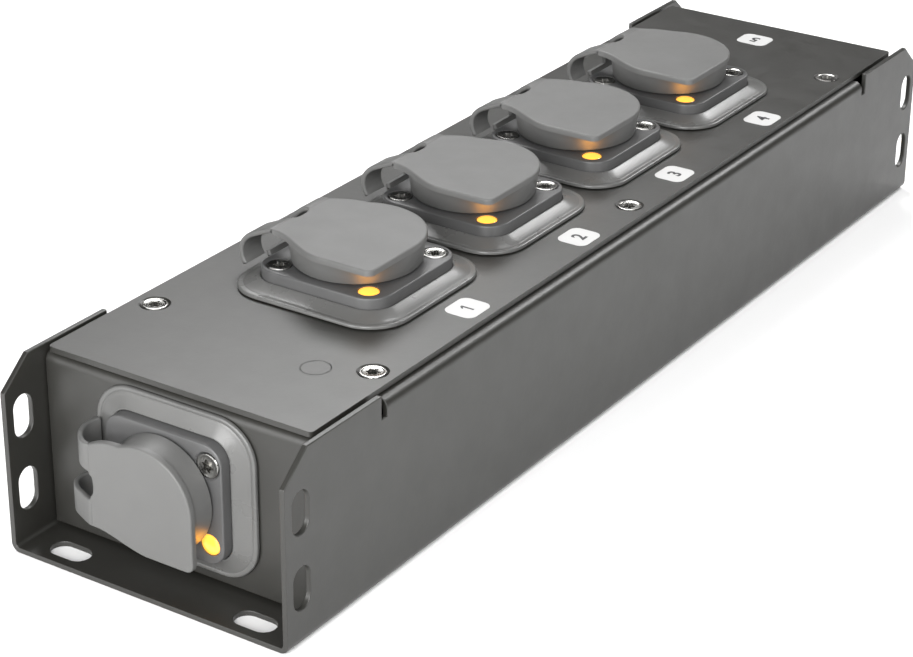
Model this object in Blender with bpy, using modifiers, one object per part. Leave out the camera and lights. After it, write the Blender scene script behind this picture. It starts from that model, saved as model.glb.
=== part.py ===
"""Power distribution box: a folded sheet box with six capped power connectors.

Frame: X runs across the box, Y along it with the inlet at -Y, Z is up. The origin lies on
the floor under the middle of the box. All sizes are in metres.

Each connector is drawn in its own frame, which has its origin on the outer face of the plate
that carries it: +z points out of the plate, +x away from the cap's hinge.
"""
import math

import bmesh
import bpy
from mathutils import Matrix, Vector

MM = 0.001
GAP = 0.3 * MM             # between pieces that rest on each other
CLEARANCE = 0.3 * MM       # between a hole and the piece that passes it
REACH = 5.0 * MM           # how far a cutter runs past the faces that it opens

# Folded box
LENGTH = 271.0 * MM
WIDTH = 68.0 * MM
HEIGHT = 41.0 * MM
SHEET = 1.2 * MM           # sheet of the chassis and the end plates
COVER_SHEET = 1.2 * MM
BEND_RADIUS = 2.0 * MM     # outer radius of every fold
BEND_STEPS = 4
END_RECESS = 11.6 * MM     # from the wings' ends to an end plate
RELIEF_INSET = 19.9 * MM   # from an end plate's outer face to a bend relief
RELIEF_WIDTH = 1.8 * MM
RELIEF_DEPTH = 3.4 * MM    # below the return flange's top
RETURN_FLANGE = 10.5 * MM  # from the side's outer face to the flange's tip
END_FLANGE = 9.0 * MM      # from the end plate's outer face to its flange's tip
WING_CHAMFER_Y = 7.2 * MM
WING_CHAMFER_Z = 6.0 * MM
COVER_SETBACK = 2.3 * MM   # from the side's outer face to the cover's edge
COVER_FILLET = 1.0 * MM

# Mounting slots
SLOT_LENGTH = 9.2 * MM
SLOT_WIDTH = 5.2 * MM
SLOT_END = 4.8 * MM        # slot's middle from the wing's end
SLOT_HEIGHTS = (12.3 * MM, 28.3 * MM)
BASE_SLOT_X = 22.8 * MM

# Cover screws
COVER_SCREW_X = 26.7 * MM
COVER_SCREW_INSET = 26.5 * MM  # from an end plate's outer face to the outer rows
COVER_HEAD_RADIUS = 2.7 * MM
COVER_SHANK_RADIUS = 1.5 * MM
COVER_SCREW_LENGTH = 7.0 * MM

# Connectors: places
OUTLET_PITCH = 43.3 * MM
END_CONNECTOR_Z = 21.2 * MM

# Connectors: rubber pad and housing
PAD_RIM = 1.0 * MM         # height of the pad's thin border
PAD_BORDER = 1.3 * MM
PAD_LIP = 2.4 * MM         # height of the lip round the flange
PAD_LIP_WIDTH = 0.7 * MM
PAD_GROOVE = 0.9 * MM      # between the lip and the flange
PAD_FLOOR = 1.5 * MM
FLANGE_THICKNESS = 2.8 * MM
FLANGE_EDGE = 0.35 * MM    # chamfer of the flange's upper edge
BARREL_WALL = 1.4 * MM
BARREL_DEPTH = 22.0 * MM   # behind the plate's outer face
BARREL_BACK = 1.6 * MM
BARREL_HOLE_CLEARANCE = 0.5 * MM
INSERT_RECESS = 8.4 * MM   # from the flange's top to the insert's face
INSERT_CHANNEL = 2.6 * MM  # ring gap between the insert and the barrel
CONTACT_RING = 4.2 * MM
CONTACT_ANGLES = (90.0, 210.0, 330.0)
CONTACT_WIDTH = 3.6 * MM
CONTACT_THICKNESS = 0.8 * MM
CONTACT_MOUTH = 3.0 * MM   # depth of the openings in the insert's face
CONTACT_TAIL = 5.0 * MM    # behind the barrel

# Connectors: cap and its straps
CAP_TOP = 11.2 * MM        # cap's outer face above the plate
CAP_PLATE = 1.3 * MM
CAP_RIM = 0.6 * MM         # from the cap's round wall to its face's edge
CAP_EDGE = 0.4 * MM
CAP_ROUND_END = 115.0      # degrees round the cap where its round side ends
CAP_SWING_END = 0.1        # where the tab's swing ends, in cap radii
CAP_TAB_FILLET = 1.7 * MM
CAP_NOTCH = 0.7 * MM       # depth of the scoop between the two straps
CAP_EDGE_INSET = 1.5 * MM  # from the flange's edge to the cap's hinge side
CAP_ROOF = 3.2 * MM        # rubber over the cap's inner hollow
PLUG_DEPTH = 2.0 * MM      # below the flange's top
PLUG_WALL = 1.6 * MM
PLUG_CLEARANCE = 0.9 * MM
HINGE_INSET = 0.3 * MM     # from the flange's edge to the hinge axis
STRAP_THICKNESS = 1.1 * MM
STRAP_REACH = 6.3 * MM     # from the hinge axis to the strap's middle
STRAP_END = 235.0          # degrees round the hinge where a strap meets the pad
STRAP_STEPS = 9

# Connectors: lens and fasteners
LENS_RADIUS = 2.1 * MM
LENS_DEPTH = 1.2 * MM
LENS_DOME = 0.25 * MM
HEAD_RADIUS = 2.6 * MM      # of a flange screw, flush in its countersink
SHANK_RADIUS = 1.4 * MM
SHANK_LENGTH = 10.0 * MM

# Wiring
LOOM_RADIUS = 2.2 * MM
LOOM_LEVEL = 6.0 * MM
LOOM_RISE = 6.6 * MM       # from the loom's ends to where it leaves the floor
LOOM_BEND = 5.0 * MM
LOOM_BEND_STEPS = 3
LOOM_SIDES = 8
EARTH_LEAD_RADIUS = 1.1 * MM
STUD_X = 17.0 * MM
STUD_INSET = 21.9 * MM     # from the front plate's outer face
STUD_RADIUS = 1.9 * MM
STUD_LENGTH = 8.0 * MM
STUD_HEAD_RADIUS = 3.1 * MM
STUD_HEAD = 0.8 * MM

RING_POINTS = 20           # points round a connector's sections
SCREW_STEPS = 12           # steps round a screw or its hole

FACE_Y = LENGTH / 2 - END_RECESS      # outer face of an end plate
RELIEF_Y = FACE_Y - RELIEF_INSET
COVER_SCREW_ROWS = [row * (FACE_Y - COVER_SCREW_INSET) for row in (-1, 0, 1)]
FLANGE_BOTTOM = PAD_FLOOR + GAP
FLANGE_TOP = FLANGE_BOTTOM + FLANGE_THICKNESS
SEAT_TOP = HEIGHT - COVER_SHEET - GAP  # top of everything that the cover lies on
BARREL_FLOOR = -BARREL_DEPTH + BARREL_BACK
INSERT_FACE = FLANGE_TOP - INSERT_RECESS
TAIL_END = -BARREL_DEPTH - CONTACT_TAIL
CONTACTS = [(CONTACT_RING * math.cos(math.radians(a)), CONTACT_RING * math.sin(math.radians(a)))
            for a in CONTACT_ANGLES]


class Size:
    """Sizes of one kind of connector; half sizes and places are along its x and y."""

    def __init__(self, pad, pad_fillet, flange, flange_fillet, screw, lens, barrel, cap, tab,
                 straps):
        self.pad = pad
        self.pad_fillet = pad_fillet
        self.flange = flange
        self.flange_fillet = flange_fillet
        self.screw = screw
        self.lens = lens
        self.barrel = barrel                 # outer radius
        self.cap = cap                       # radius of the cap's round side
        self.tab = tab                       # from the middle to the finger tab's tip
        self.straps = straps                 # a strap's inner and outer edge along y
        self.mouth = barrel - BARREL_WALL
        self.cap_wall = cap - CAP_RIM
        self.cap_edge = flange[0] - CAP_EDGE_INSET
        half_strap = STRAP_THICKNESS / 2
        top = CAP_TOP - half_strap
        foot = PAD_RIM + 2 * GAP + half_strap
        self.strap_rise = (top - foot) / (1.0 - math.sin(math.radians(STRAP_END)))
        self.hinge = Vector((HINGE_INSET - flange[0], 0.0, top - self.strap_rise))


OUTLET = Size(
    pad=(20.2 * MM, 20.0 * MM), pad_fillet=9.0 * MM,
    flange=(15.7 * MM, 15.3 * MM), flange_fillet=5.4 * MM,
    screw=(11.4 * MM, 11.3 * MM), lens=(10.9 * MM, 11.4 * MM), barrel=12.0 * MM,
    cap=14.4 * MM, tab=15.8 * MM, straps=(3.4 * MM, 9.9 * MM),
)
END_TYPE = Size(
    pad=(19.2 * MM, 17.2 * MM), pad_fillet=8.6 * MM,
    flange=(14.1 * MM, 12.9 * MM), flange_fillet=4.2 * MM,
    screw=(10.8 * MM, 8.5 * MM), lens=(10.8 * MM, 8.5 * MM), barrel=10.9 * MM,
    cap=12.8 * MM, tab=11.8 * MM, straps=(3.2 * MM, 9.0 * MM),
)


# Scene and materials

def clear_scene():
    """Removes every object, so that a second run starts clean."""
    for old in list(bpy.data.objects):
        bpy.data.objects.remove(old, do_unlink=True)


def new_collection(name):
    """Links and returns a collection."""
    group = bpy.data.collections.new(name)
    bpy.context.scene.collection.children.link(group)
    return group


def material(name, colour, roughness, metallic=0.0):
    """Returns a Principled material of one linear colour."""
    made = bpy.data.materials.new(name)
    made.use_nodes = True
    shader = made.node_tree.nodes["Principled BSDF"]
    shader.inputs["Base Color"].default_value = (*colour, 1.0)
    shader.inputs["Roughness"].default_value = roughness
    shader.inputs["Metallic"].default_value = metallic
    return made


clear_scene()
PARTS = new_collection("power_distribution_box")
CUTTERS = new_collection("cutters")

POWDER_COAT = material("powder_coat", (0.045, 0.045, 0.043), 0.45, 0.1)
RUBBER = material("rubber", (0.105, 0.105, 0.11), 0.6)
HOUSING_PLASTIC = material("housing_plastic", (0.035, 0.035, 0.038), 0.5)
INSERT_PLASTIC = material("insert_plastic", (0.02, 0.02, 0.022), 0.4)
AMBER = material("amber_lens", (1.0, 0.45, 0.05), 0.25)
NICKEL = material("nickel_steel", (0.55, 0.54, 0.5), 0.3, 1.0)
LOOM_SLEEVE = material("loom_sleeve", (0.012, 0.012, 0.012), 0.6)


# Meshes

def to_mesh(bm, name):
    """Turns a bmesh into a mesh that faces out and is smooth on its round sides."""
    bmesh.ops.recalc_face_normals(bm, faces=bm.faces)
    mesh = bpy.data.meshes.new(name)
    bm.to_mesh(mesh)
    bm.free()
    mesh.shade_smooth()
    mesh.set_sharp_from_angle(angle=math.radians(35.0))
    return mesh


def add_object(name, mesh, matrix, finish):
    """Places a mesh as one named part."""
    made = bpy.data.objects.new(name, mesh)
    made.matrix_world = matrix
    PARTS.objects.link(made)
    mesh.materials.append(finish)
    return made


def add_cutter(name, mesh, matrix):
    """Places a mesh that only shapes other parts."""
    made = bpy.data.objects.new(name, mesh)
    made.matrix_world = matrix
    made.hide_render = True
    made.display_type = "WIRE"
    CUTTERS.objects.link(made)
    return made


def combine(target, other, operation):
    """Adds a boolean of another object to a part."""
    boolean = target.modifiers.new(other.name, "BOOLEAN")
    boolean.operation = operation
    boolean.object = other


def join_meshes(name, placed):
    """Joins placed meshes, given as (mesh, matrix) pairs, as separate solids of one mesh."""
    bm = bmesh.new()
    for mesh, matrix in placed:
        copy = mesh.copy()
        copy.transform(matrix)
        bm.from_mesh(copy)
        bpy.data.meshes.remove(copy)
    return to_mesh(bm, name)


def prism(points, depth):
    """Extrudes a closed outline in x and y from z = 0 to z = depth."""
    bm = bmesh.new()
    face = bm.faces.new([bm.verts.new((x, y, 0.0)) for x, y in points])
    grown = bmesh.ops.extrude_face_region(bm, geom=[face])
    moved = [v for v in grown["geom"] if isinstance(v, bmesh.types.BMVert)]
    bmesh.ops.translate(bm, verts=moved, vec=(0.0, 0.0, depth))
    return to_mesh(bm, "prism")


def loft(sections, closed=False):
    """Joins sections of equal point counts; a closed loft ends on its first section."""
    bm = bmesh.new()
    rows = [[bm.verts.new(point) for point in section] for section in sections]
    pairs = list(zip(rows, rows[1:]))
    if closed:
        pairs.append((rows[-1], rows[0]))
    else:
        bm.faces.new(rows[0])
        bm.faces.new(rows[-1])
    for low, high in pairs:
        for i in range(len(low)):
            j = (i + 1) % len(low)
            bm.faces.new((low[i], low[j], high[j], high[i]))
    return to_mesh(bm, "loft")


def turned(profile, steps):
    """Turns a profile of (radius, z) points about z; both of its ends lie on the axis."""
    bm = bmesh.new()
    verts = [bm.verts.new((radius, 0.0, z)) for radius, z in profile]
    edges = [bm.edges.new(pair) for pair in zip(verts, verts[1:])]
    bmesh.ops.spin(
        bm, geom=verts + edges, axis=(0.0, 0.0, 1.0), cent=(0.0, 0.0, 0.0),
        angle=math.tau, steps=steps, use_merge=True)
    bmesh.ops.remove_doubles(bm, verts=bm.verts, dist=0.00001)
    return to_mesh(bm, "turned")


def circle(radius, z):
    """Points of a round section, in the order of rounded_box."""
    angles = [math.tau * (i + 0.5) / RING_POINTS for i in range(RING_POINTS)]
    return [(radius * math.cos(a), radius * math.sin(a), z) for a in angles]


def rounded_box(half, fillet, z):
    """Points of a rectangle with round corners, an equal number in each corner."""
    per_corner = RING_POINTS // 4
    points = []
    for corner, (side_x, side_y) in enumerate(((1, 1), (-1, 1), (-1, -1), (1, -1))):
        for i in range(per_corner):
            angle = math.radians(90.0 * (corner + i / (per_corner - 1)))
            x = side_x * (half[0] - fillet) + fillet * math.cos(angle)
            y = side_y * (half[1] - fillet) + fillet * math.sin(angle)
            points.append((x, y, z))
    return points


def arc(centre, radius, start, end, steps):
    """Points on an arc in a plane, both ends included, with angles in degrees."""
    angles = [math.radians(start + (end - start) * i / steps) for i in range(steps + 1)]
    return [(centre[0] + radius * math.cos(a), centre[1] + radius * math.sin(a)) for a in angles]


def grow(half, margin):
    """Both half sizes of a rectangle, made larger by a margin."""
    return (half[0] + margin, half[1] + margin)


def at(x, y, z):
    """Matrix of a plain move."""
    return Matrix.Translation((x, y, z))


# Folded sheets

def extrude_edges(bm, edges, offset):
    """Extrudes open edges by an offset and returns the new outer edges."""
    grown = bmesh.ops.extrude_edge_only(bm, edges=edges)["geom"]
    verts = [v for v in grown if isinstance(v, bmesh.types.BMVert)]
    bmesh.ops.translate(bm, verts=verts, vec=offset)
    outer = set(verts)
    return [e for e in grown if isinstance(e, bmesh.types.BMEdge) and set(e.verts) <= outer]


def fold_edges(bm, edges, inward, tip):
    """Folds a wall's top edges over, then runs on to the flange's tip."""
    points = arc((0.0, 0.0), BEND_RADIUS, 0.0, 90.0, BEND_STEPS)
    for (x0, z0), (x1, z1) in zip(points, points[1:]):
        edges = extrude_edges(bm, edges, inward * (x0 - x1) + Vector((0.0, 0.0, z1 - z0)))
    return extrude_edges(bm, edges, inward * (tip - BEND_RADIUS))


def sheet_object(name, bm, outward):
    """Makes a part of an open outer surface, with the sheet's thickness grown inwards."""
    bmesh.ops.recalc_face_normals(bm, faces=bm.faces)
    bm.normal_update()
    largest = max(bm.faces, key=lambda face: face.calc_area())
    if largest.normal.dot(outward) < 0.0:
        bmesh.ops.reverse_faces(bm, faces=bm.faces)
    mesh = bpy.data.meshes.new(name)
    bm.to_mesh(mesh)
    bm.free()
    mesh.shade_smooth()
    mesh.set_sharp_from_angle(angle=math.radians(35.0))
    made = add_object(name, mesh, Matrix.Identity(4), POWDER_COAT)
    solid = made.modifiers.new("sheet", "SOLIDIFY")
    solid.thickness = SHEET
    solid.offset = -1.0
    solid.use_even_offset = True
    return made


def slot_outline():
    """Outline of a mounting slot, with its length along x."""
    radius = SLOT_WIDTH / 2
    offset = SLOT_LENGTH / 2 - radius
    return (arc((offset, 0.0), radius, -90.0, 90.0, 5)
            + arc((-offset, 0.0), radius, 90.0, 270.0, 5))


def chassis_cutter():
    """Mounting slots and wing chamfers; a side cutter passes through both wings."""
    through = WIDTH + 2 * REACH
    base_slot = prism(slot_outline(), 2 * REACH)
    side_slot = prism(slot_outline(), through)
    # A prism's x, y and z run along -Z, Y and X.
    across = Matrix(((0, 0, 1, -WIDTH / 2 - REACH), (0, 1, 0, 0), (-1, 0, 0, 0), (0, 0, 0, 1)))
    slope = WING_CHAMFER_Z / WING_CHAMFER_Y
    outer = LENGTH / 2 + REACH
    inner = LENGTH / 2 - WING_CHAMFER_Y - REACH
    top = HEIGHT + REACH * slope
    foot = HEIGHT - WING_CHAMFER_Z - REACH * slope
    placed = []
    for end in (-1, 1):
        y = end * (LENGTH / 2 - SLOT_END)
        for side in (-1, 1):
            placed.append((base_slot, at(side * BASE_SLOT_X, y, -REACH)))
        for z in SLOT_HEIGHTS:
            placed.append((side_slot, at(0.0, y, z) @ across))
        corner = prism([(-foot, end * outer), (-top, end * outer), (-top, end * inner)], through)
        placed.append((corner, across))
    return add_cutter("chassis_cutter", join_meshes("chassis_cutter", placed), Matrix.Identity(4))


def base_chassis():
    """Bottom and sides in one folded sheet, with return flanges and plain wings at the ends."""
    half_width = WIDTH / 2
    half_relief = RELIEF_WIDTH / 2
    relief_bottom = SEAT_TOP - RELIEF_DEPTH
    bend = half_width - BEND_RADIUS
    section = [
        (-half_width, relief_bottom),
        *arc((-bend, BEND_RADIUS), BEND_RADIUS, 180.0, 270.0, BEND_STEPS),
        *arc((bend, BEND_RADIUS), BEND_RADIUS, 270.0, 360.0, BEND_STEPS),
        (half_width, relief_bottom),
    ]
    stations = [
        -LENGTH / 2, -RELIEF_Y - half_relief, -RELIEF_Y + half_relief,
        RELIEF_Y - half_relief, RELIEF_Y + half_relief, LENGTH / 2,
    ]
    bm = bmesh.new()
    verts = [bm.verts.new((x, stations[0], z)) for x, z in section]
    edges = [bm.edges.new(pair) for pair in zip(verts, verts[1:])]
    for start, end in zip(stations, stations[1:]):
        edges = extrude_edges(bm, edges, (0.0, end - start, 0.0))

    def top_edges(side, low, high):
        """A side wall's open upper edges between two stations."""
        found = []
        for edge in bm.edges:
            middle = (edge.verts[0].co + edge.verts[1].co) / 2
            on_top = edge.is_boundary and abs(middle.z - relief_bottom) < GAP
            if on_top and middle.x * side > 0.0 and low < middle.y < high:
                found.append(edge)
        return found

    for side in (-1, 1):
        wings = top_edges(side, stations[0], stations[1]) + top_edges(side, stations[4], stations[5])
        rims = top_edges(side, stations[2], stations[3])
        extrude_edges(bm, wings, (0.0, 0.0, HEIGHT - relief_bottom))
        rims = extrude_edges(bm, rims, (0.0, 0.0, RELIEF_DEPTH - BEND_RADIUS))
        fold_edges(bm, rims, Vector((-side, 0.0, 0.0)), RETURN_FLANGE)
    chassis = sheet_object("base_chassis", bm, Vector((0.0, 0.0, -1.0)))
    combine(chassis, chassis_cutter(), "DIFFERENCE")
    combine(chassis, cover_screw_holes(), "DIFFERENCE")


def end_plate(name, end):
    """Plate between the wings, with its top folded inwards under the cover."""
    half_width = WIDTH / 2 - SHEET - GAP
    bottom = SHEET + 2 * GAP
    face_y = end * FACE_Y
    bm = bmesh.new()
    verts = [bm.verts.new((side * half_width, face_y, bottom)) for side in (-1, 1)]
    edges = [bm.edges.new(verts)]
    edges = extrude_edges(bm, edges, (0.0, 0.0, SEAT_TOP - BEND_RADIUS - bottom))
    fold_edges(bm, edges, Vector((0.0, -end, 0.0)), END_FLANGE)
    return sheet_object(name, bm, Vector((0.0, end, 0.0)))


def countersink(head, shank, depth):
    """Cutter for a countersunk screw whose head is flush with z = 0."""
    rim = head + CLEARANCE
    hole = shank + CLEARANCE
    return turned([
        (0.0, REACH), (rim + REACH, REACH), (rim, 0.0), (hole, hole - rim), (hole, -depth),
        (0.0, -depth),
    ], SCREW_STEPS)


def countersunk_screw(head, shank, length):
    """Countersunk screw with its head flush with z = 0."""
    return turned([
        (0.0, 0.0), (head, 0.0), (shank, shank - head), (shank, -length), (0.0, -length),
    ], SCREW_STEPS)


def top_cover():
    """Flat sheet that closes the box between the sides."""
    half = (WIDTH / 2 - COVER_SETBACK, FACE_Y)
    mesh = loft([rounded_box(half, COVER_FILLET, z) for z in (HEIGHT - COVER_SHEET, HEIGHT)])
    cover = add_object("top_cover", mesh, Matrix.Identity(4), POWDER_COAT)
    sink = countersink(COVER_HEAD_RADIUS, COVER_SHANK_RADIUS, REACH)
    placed = [(sink, at(*place, HEIGHT)) for place in cover_screw_places()]
    cutter = add_cutter("cover_sinks", join_meshes("cover_sinks", placed), Matrix.Identity(4))
    combine(cover, cutter, "DIFFERENCE")
    return cover


def cover_screw_places():
    """The six places of the cover's screws."""
    return [(side * COVER_SCREW_X, y) for side in (-1, 1) for y in COVER_SCREW_ROWS]


def cover_screw_holes():
    """Cutter for the screw holes of the return flanges."""
    radius = COVER_SHANK_RADIUS + CLEARANCE
    hole = turned([(0.0, REACH), (radius, REACH), (radius, -REACH), (0.0, -REACH)], SCREW_STEPS)
    placed = [(hole, at(*place, SEAT_TOP)) for place in cover_screw_places()]
    return add_cutter("rim_holes", join_meshes("rim_holes", placed), Matrix.Identity(4))


def cover_screws():
    """Countersunk screws of the cover."""
    for number, place in enumerate(cover_screw_places(), start=1):
        mesh = countersunk_screw(COVER_HEAD_RADIUS, COVER_SHANK_RADIUS, COVER_SCREW_LENGTH)
        add_object(f"cover_screw_{number}", mesh, at(*place, HEIGHT), NICKEL)


# Connectors

def screw_places(size):
    """The two places of a connector's flange screws."""
    return [(side * size.screw[0], side * size.screw[1]) for side in (-1, 1)]


def screw_cutters(size):
    """Placed holes for a connector's flange screws."""
    radius = SHANK_RADIUS + CLEARANCE
    ends = (FLANGE_TOP + REACH, -SHANK_LENGTH)
    hole = turned([(0.0, ends[0]), (radius, ends[0]), (radius, ends[1]), (0.0, ends[1])], SCREW_STEPS)
    return [(hole, at(*place, 0.0)) for place in screw_places(size)]


def blade(low, high, margin):
    """A contact between two heights, made larger by a margin on every side."""
    half_width = CONTACT_WIDTH / 2 + margin
    half_thickness = CONTACT_THICKNESS / 2 + margin
    corners = [(-half_width, -half_thickness), (half_width, -half_thickness),
               (half_width, half_thickness), (-half_width, half_thickness)]
    mesh = prism(corners, high - low)
    mesh.transform(at(0.0, 0.0, low))
    return mesh


def pad_mesh(size):
    """Rubber pad: thin border, rising skirt, lip and the floor under the flange."""
    border = grow(size.pad, -PAD_BORDER)
    inner = grow(size.flange, PAD_GROOVE)
    outer = grow(inner, PAD_LIP_WIDTH)
    inner_fillet = size.flange_fillet + PAD_GROOVE
    outer_fillet = inner_fillet + PAD_LIP_WIDTH
    middle = ((0.55 * border[0] + 0.45 * outer[0]), (0.55 * border[1] + 0.45 * outer[1]))
    middle_fillet = 0.55 * (size.pad_fillet - PAD_BORDER) + 0.45 * outer_fillet
    middle_z = 0.7 * PAD_RIM + 0.3 * PAD_LIP
    hole = size.barrel + CLEARANCE
    return loft([
        rounded_box(size.pad, size.pad_fillet, GAP),
        rounded_box(size.pad, size.pad_fillet, PAD_RIM),
        rounded_box(border, size.pad_fillet - PAD_BORDER, PAD_RIM),
        rounded_box(middle, middle_fillet, middle_z),
        rounded_box(outer, outer_fillet, PAD_LIP),
        rounded_box(inner, inner_fillet, PAD_LIP),
        rounded_box(inner, inner_fillet, PAD_FLOOR),
        circle(hole, PAD_FLOOR),
        circle(hole, GAP),
    ], closed=True)


def housing_mesh(size):
    """Square flange with a round barrel behind it, open at the front."""
    return loft([
        circle(size.mouth, BARREL_FLOOR),
        circle(size.mouth, FLANGE_TOP),
        rounded_box(grow(size.flange, -FLANGE_EDGE), size.flange_fillet - FLANGE_EDGE, FLANGE_TOP),
        rounded_box(size.flange, size.flange_fillet, FLANGE_TOP - FLANGE_EDGE),
        rounded_box(size.flange, size.flange_fillet, FLANGE_BOTTOM),
        circle(size.barrel, FLANGE_BOTTOM),
        circle(size.barrel, -BARREL_DEPTH),
    ])


def housing_cutters(size):
    """Placed cuts in a housing: screw holes, the lens seat and the contact slots."""
    radius = LENS_RADIUS + CLEARANCE
    floor = FLANGE_TOP - LENS_DEPTH - GAP
    seat = turned([(0.0, FLANGE_TOP + REACH), (radius, FLANGE_TOP + REACH), (radius, floor),
                   (0.0, floor)], SCREW_STEPS)
    slot = blade(-BARREL_DEPTH - REACH, BARREL_FLOOR + REACH / 2, CLEARANCE)
    sink = countersink(HEAD_RADIUS, SHANK_RADIUS, SHANK_LENGTH)
    placed = [(sink, at(*place, FLANGE_TOP)) for place in screw_places(size)]
    placed.append((seat, at(size.lens[0], -size.lens[1], 0.0)))
    placed.extend((slot, at(*place, 0.0)) for place in CONTACTS)
    return placed


def insert_mesh(size):
    """Round block in the barrel that carries the contacts."""
    radius = size.mouth - INSERT_CHANNEL
    foot = BARREL_FLOOR + GAP
    return turned([(0.0, INSERT_FACE), (radius, INSERT_FACE), (radius, foot), (0.0, foot)], RING_POINTS)


def contact_meshes(low, high, margin):
    """The three contacts of a connector, as separate solids of one mesh."""
    contact = blade(low, high, margin)
    return join_meshes("contacts", [(contact, at(*place, 0.0)) for place in CONTACTS])


def lens_mesh():
    """Domed indicator lens, seated in the flange."""
    foot = FLANGE_TOP - LENS_DEPTH
    return turned([
        (0.0, FLANGE_TOP + LENS_DOME), (0.6 * LENS_RADIUS, FLANGE_TOP + 0.7 * LENS_DOME),
        (LENS_RADIUS, FLANGE_TOP), (LENS_RADIUS, foot), (0.0, foot),
    ], SCREW_STEPS)


def cap_outline(size):
    """Outline of the cap's face: a round side, a finger tab and a scoop between the straps."""
    radius = size.cap
    edge = size.cap_edge
    strap_inner, strap_outer = size.straps
    swing_x = CAP_SWING_END * radius
    points = arc((0.0, 0.0), radius, 0.0, CAP_ROUND_END, 11)
    points.append((-edge, strap_outer))
    for angle in range(0, 181, 30):
        depth = CAP_NOTCH * math.sin(math.radians(angle))
        points.append((depth - edge, strap_inner * math.cos(math.radians(angle))))
    points.append((-edge, -strap_outer))
    swing_steps = 6
    for i in range(1, swing_steps + 1):
        share = i / swing_steps
        blend = share * share * (3.0 - 2.0 * share)
        x = -edge + (edge - swing_x) * share
        points.append((x, -strap_outer - (size.tab - strap_outer) * blend))
    corner = (radius - CAP_TAB_FILLET, CAP_TAB_FILLET - size.tab)
    points.extend(arc(corner, CAP_TAB_FILLET, -90.0, 0.0, 4))
    return points


def cap_face_mesh(size):
    """Plate of the cap, with its outer edge taken off."""
    plate = prism(cap_outline(size), CAP_PLATE)
    bm = bmesh.new()
    bm.from_mesh(plate)
    bm.faces.ensure_lookup_table()
    top = max(bm.faces, key=lambda face: face.calc_center_median().z)
    bmesh.ops.bevel(
        bm, geom=list(top.edges), offset=CAP_EDGE, offset_type="OFFSET", affect="EDGES",
        segments=1, profile=0.5, material=-1)
    mesh = to_mesh(bm, "cap_face")
    mesh.transform(at(0.0, 0.0, CAP_TOP - CAP_PLATE))
    return mesh


def cap_plug_mesh(size):
    """Round wall of the cap, the hollow plug below it and the part that joins the plate."""
    foot = FLANGE_TOP + GAP
    join = CAP_TOP - CAP_PLATE / 2
    plug = size.mouth - PLUG_CLEARANCE
    plug_foot = FLANGE_TOP - PLUG_DEPTH
    hollow = plug - PLUG_WALL
    roof = CAP_TOP - CAP_ROOF
    return turned([
        (0.0, join), (size.cap_wall, join), (size.cap_wall, foot), (plug, foot),
        (plug, plug_foot), (hollow, plug_foot), (hollow, roof), (0.0, roof),
    ], RING_POINTS)


def strap_mesh(size):
    """Rubber loop as wide as both straps, from the cap's face round to the pad."""
    half = STRAP_THICKNESS / 2
    path = [Vector((-size.cap_edge - GAP, CAP_TOP - half))]
    for i in range(STRAP_STEPS + 1):
        angle = math.radians(90.0 + (STRAP_END - 90.0) * i / STRAP_STEPS)
        path.append(Vector((size.hinge.x + STRAP_REACH * math.cos(angle),
                            size.hinge.z + size.strap_rise * math.sin(angle))))
    outer = []
    inner = []
    for i, point in enumerate(path):
        before = path[max(i - 1, 0)]
        after = path[min(i + 1, len(path) - 1)]
        along = (after - before).normalized()
        side = Vector((along.y, -along.x)) * half
        outer.append(point + side)
        inner.append(point - side)
    strip = prism(outer + inner[::-1], 2 * size.straps[1])
    # The outline's y becomes the connector's z, and the prism grows along -y.
    strip.transform(Matrix(((1, 0, 0, 0), (0, 0, -1, size.straps[1]), (0, 1, 0, 0), (0, 0, 0, 1))))
    return strip


def strap_window(size):
    """Cut between the two straps, down to the foot that joins them on the pad."""
    half_width = size.straps[0]
    foot = PAD_RIM + 2 * GAP + 2 * STRAP_THICKNESS
    edge = size.cap_edge - REACH
    corners = [(-size.pad[0] - REACH, -half_width), (-edge, -half_width),
               (-edge, half_width), (-size.pad[0] - REACH, half_width)]
    window = prism(corners, CAP_TOP + REACH - foot)
    window.transform(at(0.0, 0.0, foot))
    return window


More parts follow.
